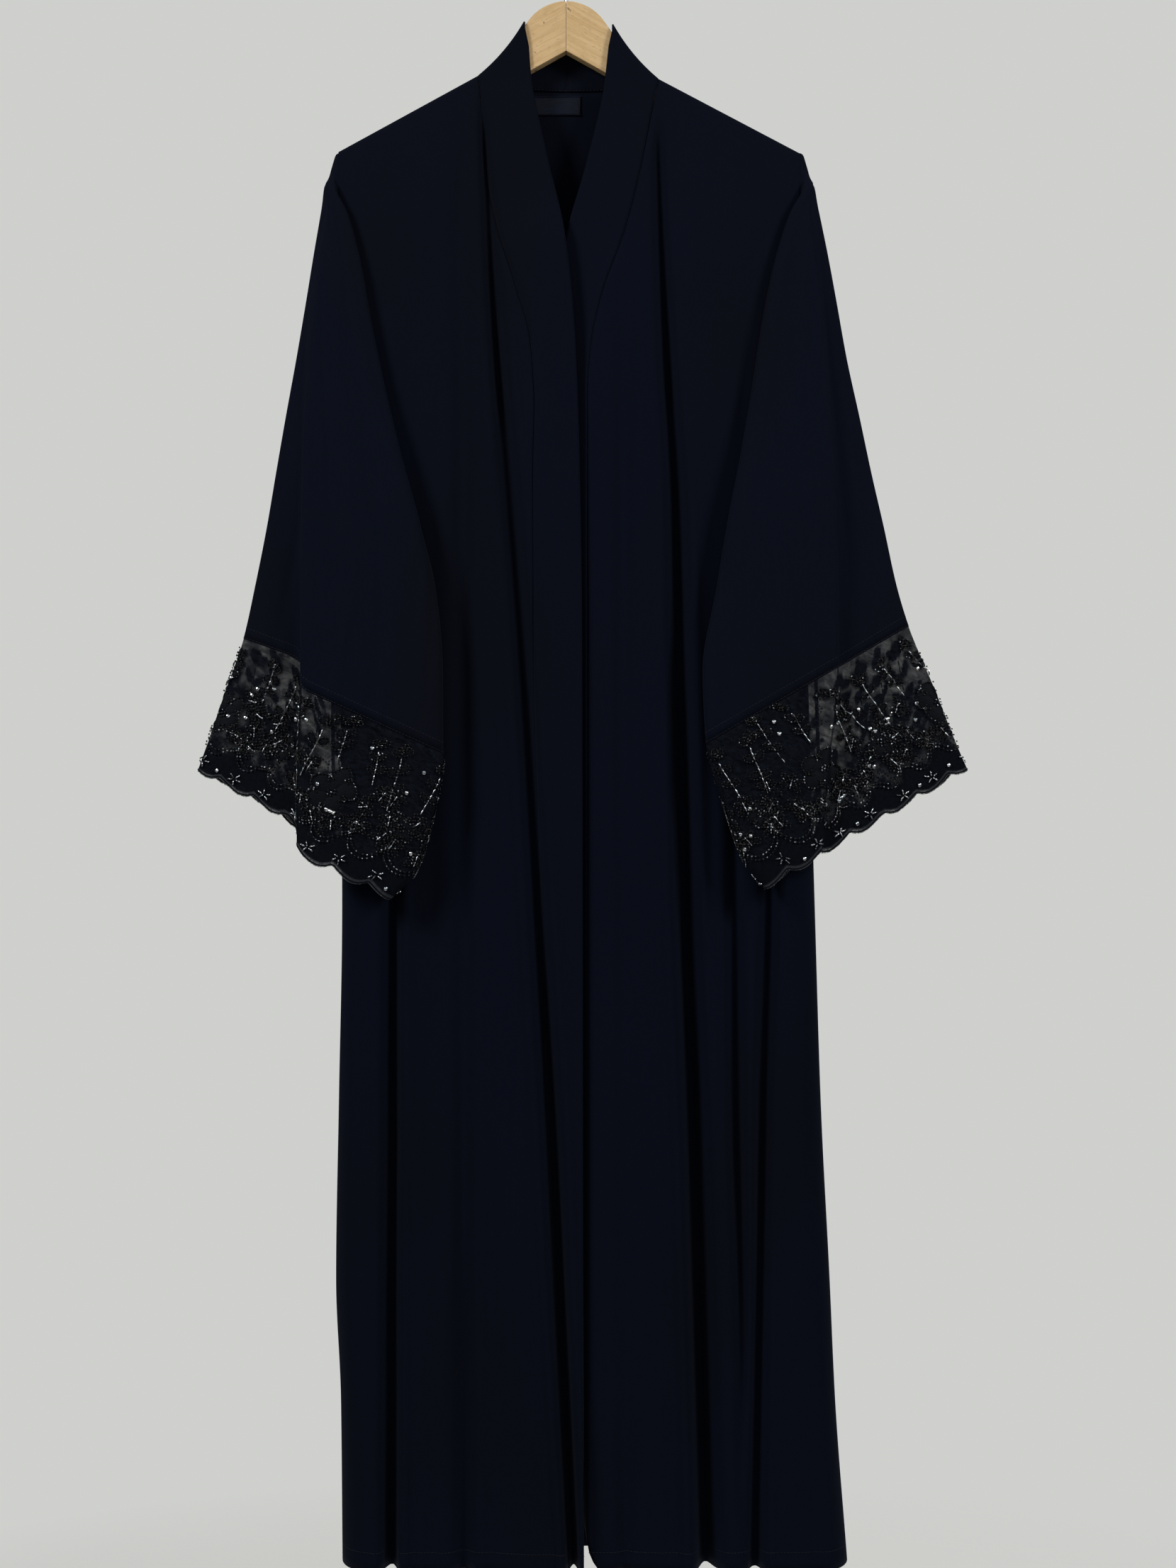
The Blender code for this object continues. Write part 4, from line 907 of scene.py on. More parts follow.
def finished(name, base, tones, relief, sockets, share=None):
    """A material of one base colour with tones laid over it. A tone is a colour and its pattern's
    settings; without a colour it only gives relief. The relief's strength and depth go with the
    first pattern, and a share adds another pattern, by number and amount."""
    material, tree, shader = new_material(name, sockets)
    clouds = [pattern(tree, *settings) for _, *settings in tones]
    named = [(tone[0], cloud) for tone, cloud in zip(tones, clouds, strict=True) if tone[0]]
    height = clouds[0]
    if share:
        inputs = {0: clouds[share[0]], 1: share[1], 2: height}
        height = add(tree, "ShaderNodeMath", inputs, operation="MULTIPLY_ADD")
    base = linear(base) if isinstance(base, str) else (*base, 1.0)
    dress(tree, shader, toned(tree, base, *named), height, *relief)
    return material


# Each finish: the material's name, base colour, tones, relief and the shader's constant values.
SILVER_SHADE = ((4.2, 4.2, 4.2), 0.38, 0.62, 1, 1)
FINISHES = {
    # Rayon embroidery thread laid side by side: fine ridges in relief, with their soft satin gleam
    # painted as a lighter tone on them.
    "embroidery": (
        "cuff black rayon embroidery",
        "#010308",
        # painted sheen: the lighter tone on the thread's ridges
        (("#06080F", (1.1, 1.1, 1.1), 0.35, 0.7),),
        (0.6, 0.4),
        {"Roughness": 0.6, "Specular IOR Level": 0.08},
    ),
    # Pressed black glass: jet black with small sharp reflections.
    "glass": (
        "cuff black glass beads",
        "#010102",
        (("#06070A", (3.3, 3.3, 3.3), 0.4, 0.6),),
        (0, 0),
        {"Roughness": 0.14, "Specular IOR Level": 0.3},
    ),
    # Clear glass with a silvered lining, or silvered film: a cold bright glint that varies.
    "rice": (
        "cuff silver-lined rice beads",
        "#303338",
        (("#9CA0A6", *SILVER_SHADE),),
        (0, 0),
        {"Roughness": 0.17, "Metallic": 1},
    ),
    "bugles": (
        "cuff silver-lined bugles",
        "#585B61",
        (("#CDD0D6", *SILVER_SHADE),),
        (0, 0),
        {"Roughness": 0.22, "Metallic": 1},
    ),
    "sequins": (
        "cuff silver sequins",
        "#A9AFBA",
        (("#F4F5F8", *SILVER_SHADE),),
        (0, 0),
        {"Roughness": 0.16, "Metallic": 1},
    ),
    # Spun polyester thread, a little greyer than the cloth because it is twisted.
    "sewing": (
        "black polyester thread",
        "#0B0E15",
        (("#20242E", (0.7, 0.7, 0.7), 0.3, 0.7, 1, 1),),
        (0.4, 0.2),
        {"Roughness": 0.75, "Specular IOR Level": 0.15},
    ),
    # Woven polyester satin: navy black, with fine ribs across in relief, drawn in a lighter tone as
    # a painted highlight where they would catch the light. The ribs are drawn 0.6 mm apart, coarser
    # than real ones, so that they show.
    "satin": (
        "neck label navy satin",
        "#060A15",
        (
            # painted highlight: the ribs' lighter stripes, on the same pattern as their relief
            ("#0B111F", (11, 11, 0.6), 0.35, 0.65),
            ("#0F1628", (16, 16, 16), 0.45, 0.65, 0.5, 1),
        ),
        (0.25, 0.3),
        {"Roughness": 0.45, "Specular IOR Level": 0.12, "Sheen Weight": 0.02},
    ),
    # Zinc-plated steel wire, dulled: grey metal with fine drawn lines and darker patches.
    "wire": (
        "hanger zinc-plated steel wire",
        "#5C5D62",
        ((None, (0.8, 0.8, 16), 0.35, 0.65), ("#8A8C92", (8, 8, 8), 0.4, 0.65)),
        (0.15, 0.2),
        {"Roughness": 0.34, "Metallic": 1},
    ),
}


def crepe(name, base, light, neutral, crinkle):
    """Polyester crepe, piece-dyed black: a matt face with fine pebbling that runs in upright
    streaks, a faint haze of sheen at the folds and a slow drift from blue-black to neutral.
    The pebbles of real crepe are under 1 mm, so they are drawn about twice as coarse."""
    pebbles = (light, (1.4, 1.4, 3), 0.3, 0.7)
    streaks = (light, (3.2, 3.2, 60), 0.3, 0.75, 0.6, 3)
    drift = (neutral, (180, 180, 420), 0.44, 0.70, 0.6, 1)
    sockets = {"Roughness": 0.92, "Specular IOR Level": 0.05, "Sheen Weight": 0.03}
    sockets |= {"Sheen Roughness": 0.5, "Sheen Tint": linear("#8C97AE")}
    return finished(name, base, (pebbles, streaks, drift), (crinkle, 0.25), sockets, (1, 0.5))


def beech(name, lean):
    """Beech, sawn flat and clear lacquered: pale tan with fine grain along the arm, short dark
    flecks, a few handling marks and small dents, and a low satin gloss."""
    grain = ("#CBAD80", (62, 5.5, 3.3), 0.33, 0.68, 1, 5, lean, 0.6)
    flecks = ("#9A774C", (5, 1.4, 0.7), 0.62, 0.72, 0.45, 1, lean)
    soil = ("#A88A5F", (26, 26, 26), 0.5, 0.75, 0.45, 3)
    marks = ("#5A4229", (6.5, 6.5, 6.5), 0.68, 0.74, 0.7, 1)
    sockets = {"Roughness": 0.5, "Specular IOR Level": 0.35}
    sockets |= {"Coat Weight": 0.12, "Coat Roughness": 0.35}
    return finished(name, "#B9996B", (grain, flecks, soil, marks), (0.35, 0.4), sockets, (3, -2))


def organza():
    """Black silk organza worked with black thread: the bare gauze is a smoky grey that shows what
    is behind it, with watery streaks where its two layers shift, the worked ground is nearly
    opaque, blue-black and matt, and the cut edge past the cord is a pale broken fringe."""
    sockets = {"Roughness": 0.8, "Specular IOR Level": 0.05, "Sheen Weight": 0.02}
    sockets |= {"Sheen Roughness": 0.4, "Sheen Tint": linear("#A6ACB8")}
    material, tree, shader = new_material("cuff black embroidered organza", sockets)
    cover, fray = (
        add(tree, "ShaderNodeAttribute", attribute_name=name).outputs["Fac"]
        for name in ("cover", "fray")
    )
    water = pattern(tree, (20, 20, 9), 0.38, 0.62, 1, 3, 0.5, 2.4)
    fine = pattern(tree, (8, 8, 3.5), 0.4, 0.68, 0.6, 3, 0.5, 2)
    cloud = pattern(tree, (17, 17, 17), 0.46, 0.64, 0.42)
    thread = pattern(tree, (1.5, 1.5, 2.6), 0.35, 0.7)
    worked = add(tree, "ShaderNodeMath", {0: cover, 1: cloud}, operation="ADD", use_clamp=True)
    gauze = toned(tree, linear("#04060C"), ("#0C0F17", water), ("#191E29", fine))
    ground = toned(tree, linear("#03040A"), ("#080A11", thread))
    alpha = 0.42
    for factor, other in ((water, 0.60), (worked, 0.97), (fray, thread)):
        alpha = add(tree, "ShaderNodeMix", {"Factor": factor, "A": alpha, "B": other})
    tree.links.new(alpha.outputs["Result"], shader.inputs["Alpha"])
    colour = toned(tree, gauze, (ground, worked), ("#5A5D63", fray))
    dress(tree, shader, colour, worked, 0.4, 0.5)
    return material


# ---------------------------------------------------------------- meshes


def link(name, data):
    """A new object in the scene that shows the given mesh, lamp or camera."""
    made = bpy.data.objects.new(name, data)
    bpy.context.scene.collection.objects.link(made)
    return made


def new_mesh(name, points, edges, faces):
    mesh = bpy.data.meshes.new(name)
    mesh.from_pydata(np.asarray(points, float).tolist(), edges, faces)
    mesh.shade_smooth()
    return mesh


def grid_mesh(name, rows, attributes):
    """A mesh from a grid of points in mm, with a UV map in metres of cloth."""
    index = np.arange(rows[..., 0].size).reshape(rows.shape[:2])
    corners = (index[:-1, :-1], index[1:, :-1], index[1:, 1:], index[:-1, 1:])
    faces = np.stack(corners, axis=-1).reshape(-1, 4)
    mesh = new_mesh(name, rows.reshape(-1, 3) * MM, [], faces.tolist())
    uv = (np.stack([run_of(rows, 1), -run_of(rows, 0)], axis=-1) * MM).reshape(-1, 2)
    layer = mesh.uv_layers.new(name="cloth")
    layer.data.foreach_set("uv", uv[faces.reshape(-1)].astype(np.float32).ravel())
    for key, values in attributes.items():
        held = mesh.attributes.new(key, "FLOAT", "POINT")
        held.data.foreach_set("value", values.reshape(-1).astype(np.float32))
    return mesh


def cloth(node, kind, rows, thickness, material, slot, **attributes):
    """A thin shell of cloth, so many metres thick, in the place of its CAD node."""
    name = node + "_" + kind
    made = link(name, grid_mesh(name, rows, attributes))
    made.data.materials.append(material)
    shell = made.modifiers.new("thickness of the cloth", "SOLIDIFY")
    shell.thickness = thickness
    shell.offset = 0.0
    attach(made, BODY)
    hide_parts(node)
    return made


# ---------------------------------------------------------------- what repeats, by Geometry Nodes


def new_tree(name, sizes):
    """An empty Geometry Nodes tree with a mesh, a material and named sizes as inputs."""
    tree = bpy.data.node_groups.new(name, "GeometryNodeTree")
    kinds = {"Path": "Geometry", "Finish": "Material", **dict.fromkeys(sizes, "Float")}
    for key, kind in kinds.items():
        tree.interface.new_socket(key, in_out="INPUT", socket_type="NodeSocket" + kind)
    tree.interface.new_socket("Geometry", in_out="OUTPUT", socket_type="NodeSocketGeometry")
    return tree, tree.nodes.new("NodeGroupInput").outputs


def finish_tree(tree, geometry, given):
    """Every tree ends alike: real meshes, smooth faces and the finish."""
    real = add(tree, "GeometryNodeRealizeInstances", {"Geometry": geometry})
    smooth = add(tree, "GeometryNodeSetShadeSmooth", {"Geometry": real})
    inputs = {"Geometry": smooth, "Material": given["Finish"]}
    add(tree, "NodeGroupOutput", {"Geometry": add(tree, "GeometryNodeSetMaterial", inputs)})
    return tree


def repeated(tree, given, points, shape, facing, sizes):
    """Ends a tree with one bead or stitch on each point: a rice bead, a bugle along X, or a
    cupped sequin facing Z, one unit wide before it takes its sizes."""
    if shape == "bugle":
        inputs = {"Vertices": 6, "Radius": 0.5, "Depth": 1.0}
        tube = add(tree, "GeometryNodeMeshCylinder", inputs)
        inputs = {"Geometry": tube, "Rotation": (0.0, math.pi / 2, 0.0)}
        one = add(tree, "GeometryNodeTransform", inputs)
    elif shape == "sequin":
        inputs = {"Vertices": 10, "Radius Top": 0.32, "Radius Bottom": 0.5, "Depth": 1.0}
        one = add(tree, "GeometryNodeMeshCone", inputs)
    else:
        one = add(tree, "GeometryNodeMeshIcoSphere", {"Radius": 0.5, "Subdivisions": 1})
    axes = {axis: given[size] for axis, size in zip("XYZ", sizes, strict=True)}
    scale = add(tree, "ShaderNodeCombineXYZ", axes)
    inputs = {"Points": points, "Instance": one, "Rotation": facing, "Scale": scale}
    return finish_tree(tree, add(tree, "GeometryNodeInstanceOnPoints", inputs), given)


def beads_tree(shape):
    """A bead on every point of the path, turned by the point's own attribute."""
    tree, given = new_tree("one " + shape + " on each point", BEAD_SIZES)
    turn = add(tree, "GeometryNodeInputNamedAttribute", {"Name": "turn"}, data_type="FLOAT_VECTOR")
    facing = add(tree, "FunctionNodeEulerToRotation", {"Euler": turn})
    return repeated(tree, given, given["Path"], shape, facing, BEAD_SIZES)


def cord_tree():
    """A round cord along the path."""
    tree, given = new_tree("cord along a path", ("Radius",))
    line = add(tree, "GeometryNodeMeshToCurve", {"Mesh": given["Path"]})
    ring = {"Resolution": 6, "Radius": given["Radius"]}
    profile = add(tree, "GeometryNodeCurvePrimitiveCircle", ring)
    inputs = {"Curve": line, "Profile Curve": profile, "Fill Caps": True}
    return finish_tree(tree, add(tree, "GeometryNodeCurveToMesh", inputs), given)


def stitch_tree():
    """Separate stitches along the path, each a thin thread lying along it."""
    tree, given = new_tree("stitches along a path", ("Pitch", "Length", "Thread"))
    line = add(tree, "GeometryNodeMeshToCurve", {"Mesh": given["Path"]})
    inputs = {"Curve": line, "Length": given["Pitch"]}
    even = add(tree, "GeometryNodeResampleCurve", inputs, mode="LENGTH")
    along = {"Vector": add(tree, "GeometryNodeInputTangent")}
    facing = add(tree, "FunctionNodeAlignRotationToVector", along, axis="X")
    return repeated(tree, given, even, "bugle", facing, ("Length", "Thread", "Thread"))


def grown(name, mesh, tree, material, sizes, slot):
    """Runs a tree over a path or a set of points, and keeps the result as a plain mesh."""
    source = link(name + "_path", mesh)
    nodes = source.modifiers.new(tree.name, "NODES")
    nodes.node_group = tree
    values = {"Finish": material, **{key: value * MM for key, value in sizes.items()}}
    for item in tree.interface.items_tree:
        if item.in_out == "INPUT" and item.name in values:
            nodes[item.identifier] = values[item.name]
    bpy.context.view_layer.update()
    graph = bpy.context.evaluated_depsgraph_get()
    result = bpy.data.meshes.new_from_object(source.evaluated_get(graph))
    bpy.data.objects.remove(source)
    if not result.polygons:
        raise RuntimeError(name + " came out empty")
    result.name = name
    made = link(name, result)
    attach(made, BODY)
    return made


def path_mesh(name, paths):
    """Open lines through points in mm, as the edges of one mesh."""
    edges = []
    start = 0
    for path in paths:
        edges += [(k, k + 1) for k in range(start, start + len(path) - 1)]
        start += len(path)
    return new_mesh(name, np.concatenate(paths) * MM, edges, [])


def point_mesh(name, places):
    """Loose points in mm, each with the turn that its bead takes."""
    points, turns = (np.array(column) for column in zip(*places, strict=True))
    mesh = new_mesh(name, points * MM, [], [])
    held = mesh.attributes.new("turn", "FLOAT_VECTOR", "POINT")
    held.data.foreach_set("vector", turns.astype(np.float32).ravel())
    return mesh


# ---------------------------------------------------------------- the cuffs' embroidery


def moved(u, v, reach, angle, aside=0.0):
    """A place on the cloth some way along an angle, and aside of it."""
    ahead, across = math.cos(angle), math.sin(angle)
    return u + reach * ahead - aside * across, v + reach * across + aside * ahead


class EdgeMap:
    """Turns millimetres along a piece's lower edge and up from it into places on its outer face.

    Lines at even heights above the edge are followed across the columns of the grid, so a motif
    keeps its shape where the columns crowd together beside the crease."""

    def __init__(self, side, rows, lift):
        rows_up = rows[::-1]
        normals = outward(side, rows)[::-1]
        self.lift = lift
        self.rise = run_of(rows_up)
        self.heights = np.arange(0.0, self.rise[-1].max() + LEVEL_STEP, LEVEL_STEP)
        index = np.arange(len(rows))
        columns = np.arange(rows.shape[1])
        self.lines = []
        for height in self.heights:
            row = np.array([np.interp(height, self.rise[:, k], index) for k in columns])
            low = np.minimum(row.astype(int), len(rows) - 2)
            t = (row - low)[:, None]
            place, normal = (
                grid[low, columns] * (1 - t) + grid[low + 1, columns] * t
                for grid in (rows_up, normals)
            )
            run = run_of(place)
            self.lines.append((place, normal, run / run[-1]))
        self.length = float(run_of(self.lines[0][0])[-1])
        self.tops = (self.lines[len(self.lines) // 2][2] * self.length, self.rise[-1])

    def height(self, u):
        return float(np.interp(u, *self.tops))

    def sample(self, u, v):
        """The place and the normal at u, v."""
        level = min(max(v / LEVEL_STEP, 0.0), len(self.lines) - 1.001)
        found = []
        for place, normal, share in self.lines[int(level) : int(level) + 2]:
            column = float(np.interp(u / self.length, share, np.arange(len(share))))
            j = min(int(column), len(share) - 2)
            t = column - j
            found.append([each[j] * (1 - t) + each[j + 1] * t for each in (place, normal)])
        t = level - int(level)
        return (low * (1 - t) + high * t for low, high in zip(*found, strict=True))

    def at(self, u, v, lift=0.0):
        place, normal = self.sample(u, v)
        return place + normal * (self.lift + lift) / np.linalg.norm(normal)

    def along(self):
        """How far along the edge every point of the piece's grid lies, from the top row down."""
        shares = np.array([line[2] for line in self.lines]).T
        found = [np.interp(rise, self.heights, share) for rise, share in zip(self.rise.T, shares)]
        return np.stack(found, axis=1)[::-1] * self.length

    def turned(self, u, v, angle, tilt=(0.0, 0.0)):
        """Euler turn of a bead whose length points along an angle on the cloth."""
        ahead, behind = (self.at(*moved(u, v, reach, angle)) for reach in (1, -1))
        along = Vector(ahead - behind).normalized()
        normal = Vector(list(self.sample(u, v))[1]).normalized()
        normal = (normal + along * tilt[0] + normal.cross(along) * tilt[1]).normalized()
        side = normal.cross(along).normalized()
        return tuple(Matrix((side.cross(normal), side, normal)).transposed().to_euler())

    def fits(self, u, v):
        inside = EDGE_MARGIN < u < self.length - EDGE_MARGIN
        return inside and EDGE_MARGIN < v < self.height(u) - TOP_MARGIN

    def level(self, v, count):
        """A line all along the piece at one height above its lower edge."""
        return [self.at(u, v) for u in np.linspace(0.0, self.length, count)]


class Beadwork:
    """The beads and petals of one cuff, as places along its edge and up from it."""

    def __init__(self, dice):
        self.dice = dice
        self.beads = []
        self.petals = []

    def trail(self, path, spacing, shine):
        """Rice beads laid end to end along a line; shine is the share of silver-lined ones."""
        path = np.transpose(path)
        run = run_of(path)
        count = max(1, round(run[-1] / spacing))
        for k in range(count):
            stop = (k + 0.5) * run[-1] / count
            u, v = (float(np.interp(stop, run, line)) for line in path.T)
            i = min(int(np.searchsorted(run, stop)), len(path) - 1)
            du, dv = path[i] - path[i - 1]
            kind = "silver" if self.dice.random() < shine else "black"
            self.beads.append((kind, u, v, math.atan2(dv, du)))

    def bugle(self, u, v, reach, angle):
        self.beads.append(("bugle", *moved(u, v, reach, angle), angle))

    def sequin(self, u, v):
        self.beads.append(("sequin", u, v, 0.0))

    def petal(self, u, v, angle, length, width, shine, from_share=0.0):
        """A worked petal or leaf from its foot at u, v, outlined by rice beads."""
        self.petals.append((u, v, angle, length, width))
        t = np.linspace(from_share, 1 - from_share, 40) * 2 * math.pi
        along = length * (0.5 - 0.5 * np.cos(t))
        self.trail(moved(u, v, along, angle, 0.5 * width * np.sin(t)), RICE_SPACING, shine)

    def flower(self, u, v, radius):
        """Five petals round a ring of rice beads with one at its middle."""
        start = self.dice.uniform(0, 2 * math.pi)
        for k in range(FLOWER_PETALS):
            angle = start + 2 * math.pi * k / FLOWER_PETALS
            foot = moved(u, v, 0.14 * radius, angle)
            self.petal(*foot, angle, 0.86 * radius, 0.88 * radius, 0.3, 0.16)
        ring = np.linspace(0.0, 2 * math.pi, 25) + self.dice.uniform(0.0, 1.0)
        around = (u + FLOWER_RING * np.cos(ring), v + FLOWER_RING * np.sin(ring))
        self.trail(around, RICE_SPACING + 0.2, 0.6)
        self.beads.append(("silver", u, v, 0.0))

    def spray(self, u, v, height, leaf):
        """A stem of bugle beads with pairs of looped leaves, and three at its tip."""
        up = math.pi / 2 + self.dice.uniform(-0.24, 0.24)
        step = BUGLE_LENGTH + 0.9
        for k in range(int(height / step)):
            self.bugle(u, v, (k + 0.5) * step, up)
        for share, away in SPRAY_LEAVES:
            foot = moved(*moved(u, v, height * share, up), 1.2, up + away)
            length = leaf * self.dice.uniform(0.88, 1.12)
            self.petal(*foot, up + away, length, length * 0.72, 0.10)

    def sprig(self, u, v, turn):
        """Two bugle beads with a few looped leaves, to fill the ground between the main motifs."""
        for k in (0, 1):
            self.bugle(u, v, (k - 0.5) * (BUGLE_LENGTH + 0.6), turn)
        for away in SPRIG_LEAVES:
            length = self.dice.uniform(6.5, 8.5)
            foot = moved(u, v, 3.0, turn + away * 0.8)
            self.petal(*foot, turn + away, length, length * 0.7, 0.07)

    def border(self, length, lobes):
        """Swags of two rows over the lobes, each with its star, and single sequins between."""
        shift = self.dice.uniform
        u = np.linspace(1.0, length - 1.0, 60 * lobes)
        for row in SWAG_ROWS:
            self.trail((u, swag_height(u, length, lobes) + row), RICE_SPACING + 0.2, 0.5)
        for lobe in range(lobes):
            middle = (lobe + 0.5) * length / lobes
            centre = (middle + shift(-2, 2), STAR_HEIGHT + shift(-1, 1))
            turn = shift(0, 2)
            for k in range(STAR_BUGLES):
                self.bugle(*centre, BUGLE_LENGTH * 0.85, turn + 2 * math.pi * k / STAR_BUGLES)
            if self.dice.random() < 0.6:
                self.sequin(middle + 0.5 * length / lobes, 7.5 + shift(0, 2))

    def fill(self, cuff, lobes):
        """A large and a small flower to four lobes, with sprays, sprigs and sequins round them."""
        shift = self.dice.uniform
        unit = 4 * cuff.length / lobes
        for k in range(-1, lobes // 4 + 1):
            middle = (k + 0.5) * unit + shift(-4, 4)
            flowers = []
            for away, share, radius in FLOWERS:
                u = middle + away * unit
                v = share * cuff.height(u) + shift(-3, 3)
                flowers.append((u, v, radius * shift(0.93, 1.07)))
                self.flower(*flowers[-1])
            for away, share, leaf in SPRAYS:
                u = middle + away * unit + shift(-4, 4)
                high = cuff.height(u)
                self.spray(u, share * high, (0.93 - share) * high - leaf, leaf * shift(0.93, 1.07))
            for away in LEAVES:
                u = middle + away * unit
                for turn in (-0.9, 0.0, 0.9):
                    angle = math.pi / 2 + turn + shift(-0.1, 0.1)
                    self.petal(u, SWAG_TOP + 3 + shift(-1, 1), angle, 12, 8, 0.2)
            for column, row in itertools.product(range(SPRIG_COLUMNS), range(SPRIG_ROWS)):
                u = middle + ((column + shift(0.2, 0.8)) / SPRIG_COLUMNS - 0.5) * unit
                v = SWAG_TOP + (row + shift(0.0, 0.7)) * SPRIG_RISE
                if all(math.hypot(u - f[0], v - f[1]) > f[2] + 3 for f in flowers):
                    self.sprig(u, v, shift(0.3, 2.8))
            for _ in range(LOOSE_SEQUINS):
                u = middle + shift(-0.5, 0.5) * unit
                self.sequin(u, shift(0.28, 0.9) * cuff.height(u))
            spot = (middle + shift(-0.4, 0.4) * unit, shift(38, 60))
            for away in (0, 1, 2):
                self.sequin(spot[0] + 3.4 * away, spot[1] + shift(-1.5, 1.5))


def swag_height(u, length, lobes):
    """Height of the top of the solid border: one half-round swag over each lobe of the edge."""
    along = np.mod(np.asarray(u, float) * lobes / length, 1.0) * 2 - 1
    return SWAG_TOP - SWAG_DROP * np.sqrt(np.clip(1 - along**2, 0.0, 1.0))


def cover_of(cuff, petals, lobes):
    """How solidly the cloth is worked, for every point of the cuff's grid."""
    u = cuff.along()
    v = cuff.rise[::-1]
    cover = ease((swag_height(u, cuff.length, lobes) - v) / 3.0 + 0.5)
    for foot_u, foot_v, angle, length, width in petals:
        along, aside = moved(0.0, 0.0, u - foot_u, -angle, v - foot_v)
        inside = 1 - ((along / length - 0.5) / 0.52) ** 2 - (aside / (0.52 * width)) ** 2
        cover = np.maximum(cover, PETAL_COVER * ease(inside * 2.5 + 0.5))
    least, top, fade = GROUND_COVER.values()
    return np.maximum(cover, least * ease((top - v) / fade))


def petal_mesh(name, cuff, petals):
    """Low domed petals and leaves lying on the cloth."""
    points = []
    faces = []
    for foot_u, foot_v, angle, length, width in petals:
        for i in range(PETAL_STEPS):
            k = len(points) + i * len(PETAL_ACROSS)
            across = range(k, k + len(PETAL_ACROSS) - 1)
            faces += [(j, j + 1, j + 1 + len(PETAL_ACROSS), j + len(PETAL_ACROSS)) for j in across]
        for i, j in itertools.product(range(PETAL_STEPS + 1), PETAL_ACROSS):
            t = 0.02 + 0.96 * i / PETAL_STEPS
            half = 0.5 * width * math.sqrt(1 - (2 * t - 1) ** 2)
            u, v = moved(foot_u, foot_v, length * t, angle, half * j)
            u = min(max(u, 1.0), cuff.length - 1.0)
            v = min(max(v, EDGE_MARGIN), cuff.height(u) - 1)
            rise = PETAL_RISE * (1 - j * j) * math.sin(math.pi * t) ** 0.5
            points.append(cuff.at(u, v, rise) * MM)
    return new_mesh(name, points, [], faces)


# ---------------------------------------------------------------- what a user may change


def metres(name, description, default):
    """A length on the panel."""
    return FloatProperty(name=name, description=description, default=default, unit="LENGTH")


def tone(name, description, default):
    """A colour on the panel, whose start is given as sRGB hex."""
    start = linear(default)[:3]
    return FloatVectorProperty(
        name=name, description=description, default=start, subtype="COLOR", size=3
    )


class AbayaCloth(bpy.types.PropertyGroup):
    """Sizes and colours of the crepe panels."""

    single: metres("Crepe", "Thickness of one layer", 0.0007)
    doubled: metres("Band", "Thickness of the doubled band", 0.0013)
    crinkle: FloatProperty(name="Crinkle", description="Depth of the crepe texture", default=0.28)
    colour: tone("Crepe colour", "Darkest tone of the dyed crepe", "#050914")


class AbayaCuffs(bpy.types.PropertyGroup):
    """Sizes and numbers of the cuffs' embroidery."""

    gauze: metres("Organza", "Thickness of the organza", 0.0004)
    seed: IntProperty(name="Seed", description="Varies the layout of the beadwork", default=7)


class AbayaStage(bpy.types.PropertyGroup):
    """Camera, lights and backdrop."""

    distance: metres("Distance", "Camera to the hanger's plane", 2.0)
    aside: metres("Aside", "Camera to the right of the hook", 0.020)
    height: metres("Height", "Camera above the hook", -0.778)
    backdrop: tone("Backdrop", "Colour of the room", "#CFD0CD")
    room_light: FloatProperty(
        name="Room light",
        description="Share of the backdrop's brightness that lights the cloak",
        default=0.2,
        subtype="FACTOR",
    )


# ---------------------------------------------------------------- operators


class ABAYA_OT_body(bpy.types.Operator):
    """Hangs the back panel and the two front panels"""

    bl_idname = "abaya.body"
    bl_label = "Body panels"

    def execute(self, context):
        sizes = context.scene.abaya_cloth
        finish = crepe("black polyester crepe", sizes.colour, "#070B18", "#08090F", sizes.crinkle)
        rows = back_panel(ACROSS["back"])
        piece = cloth("back", "crepe", rows, sizes.single, finish, "cloak_crepe")
        for side in SIDES:
            rows = front_panel(side, ACROSS["front"])
            piece = cloth("front_" + side, "crepe", rows, sizes.single, finish, "cloak_crepe")
        return {"FINISHED"}


class ABAYA_OT_bands(bpy.types.Operator):
    """Hangs the front band, one half on each side of the opening"""

    bl_idname = "abaya.bands"
    bl_label = "Front bands"

    def execute(self, context):
        sizes = context.scene.abaya_cloth
        crinkle = sizes.crinkle * BAND_CRINKLE
        finish = crepe("black crepe band", sizes.colour, "#070B17", "#08090F", crinkle)
        for side in SIDES:
            rows = band_panel(side, ACROSS["band"])
            piece = cloth("band_" + side, "crepe", rows, sizes.doubled, finish, "band_crepe")
        return {"FINISHED"}


class ABAYA_OT_sleeves(bpy.types.Operator):
    """Hangs the sleeves, folded forward over the fronts"""

    bl_idname = "abaya.sleeves"
    bl_label = "Sleeves"

    def execute(self, context):
        sizes = context.scene.abaya_cloth
        finish = crepe("black crepe sleeve", sizes.colour, "#080C18", "#0A0A0F", sizes.crinkle)
        for side in SIDES:
            rows, _ = arm_pieces(side)
            piece = cloth("sleeve_" + side, "crepe", rows, sizes.single, finish, "cloak_crepe")
        return {"FINISHED"}


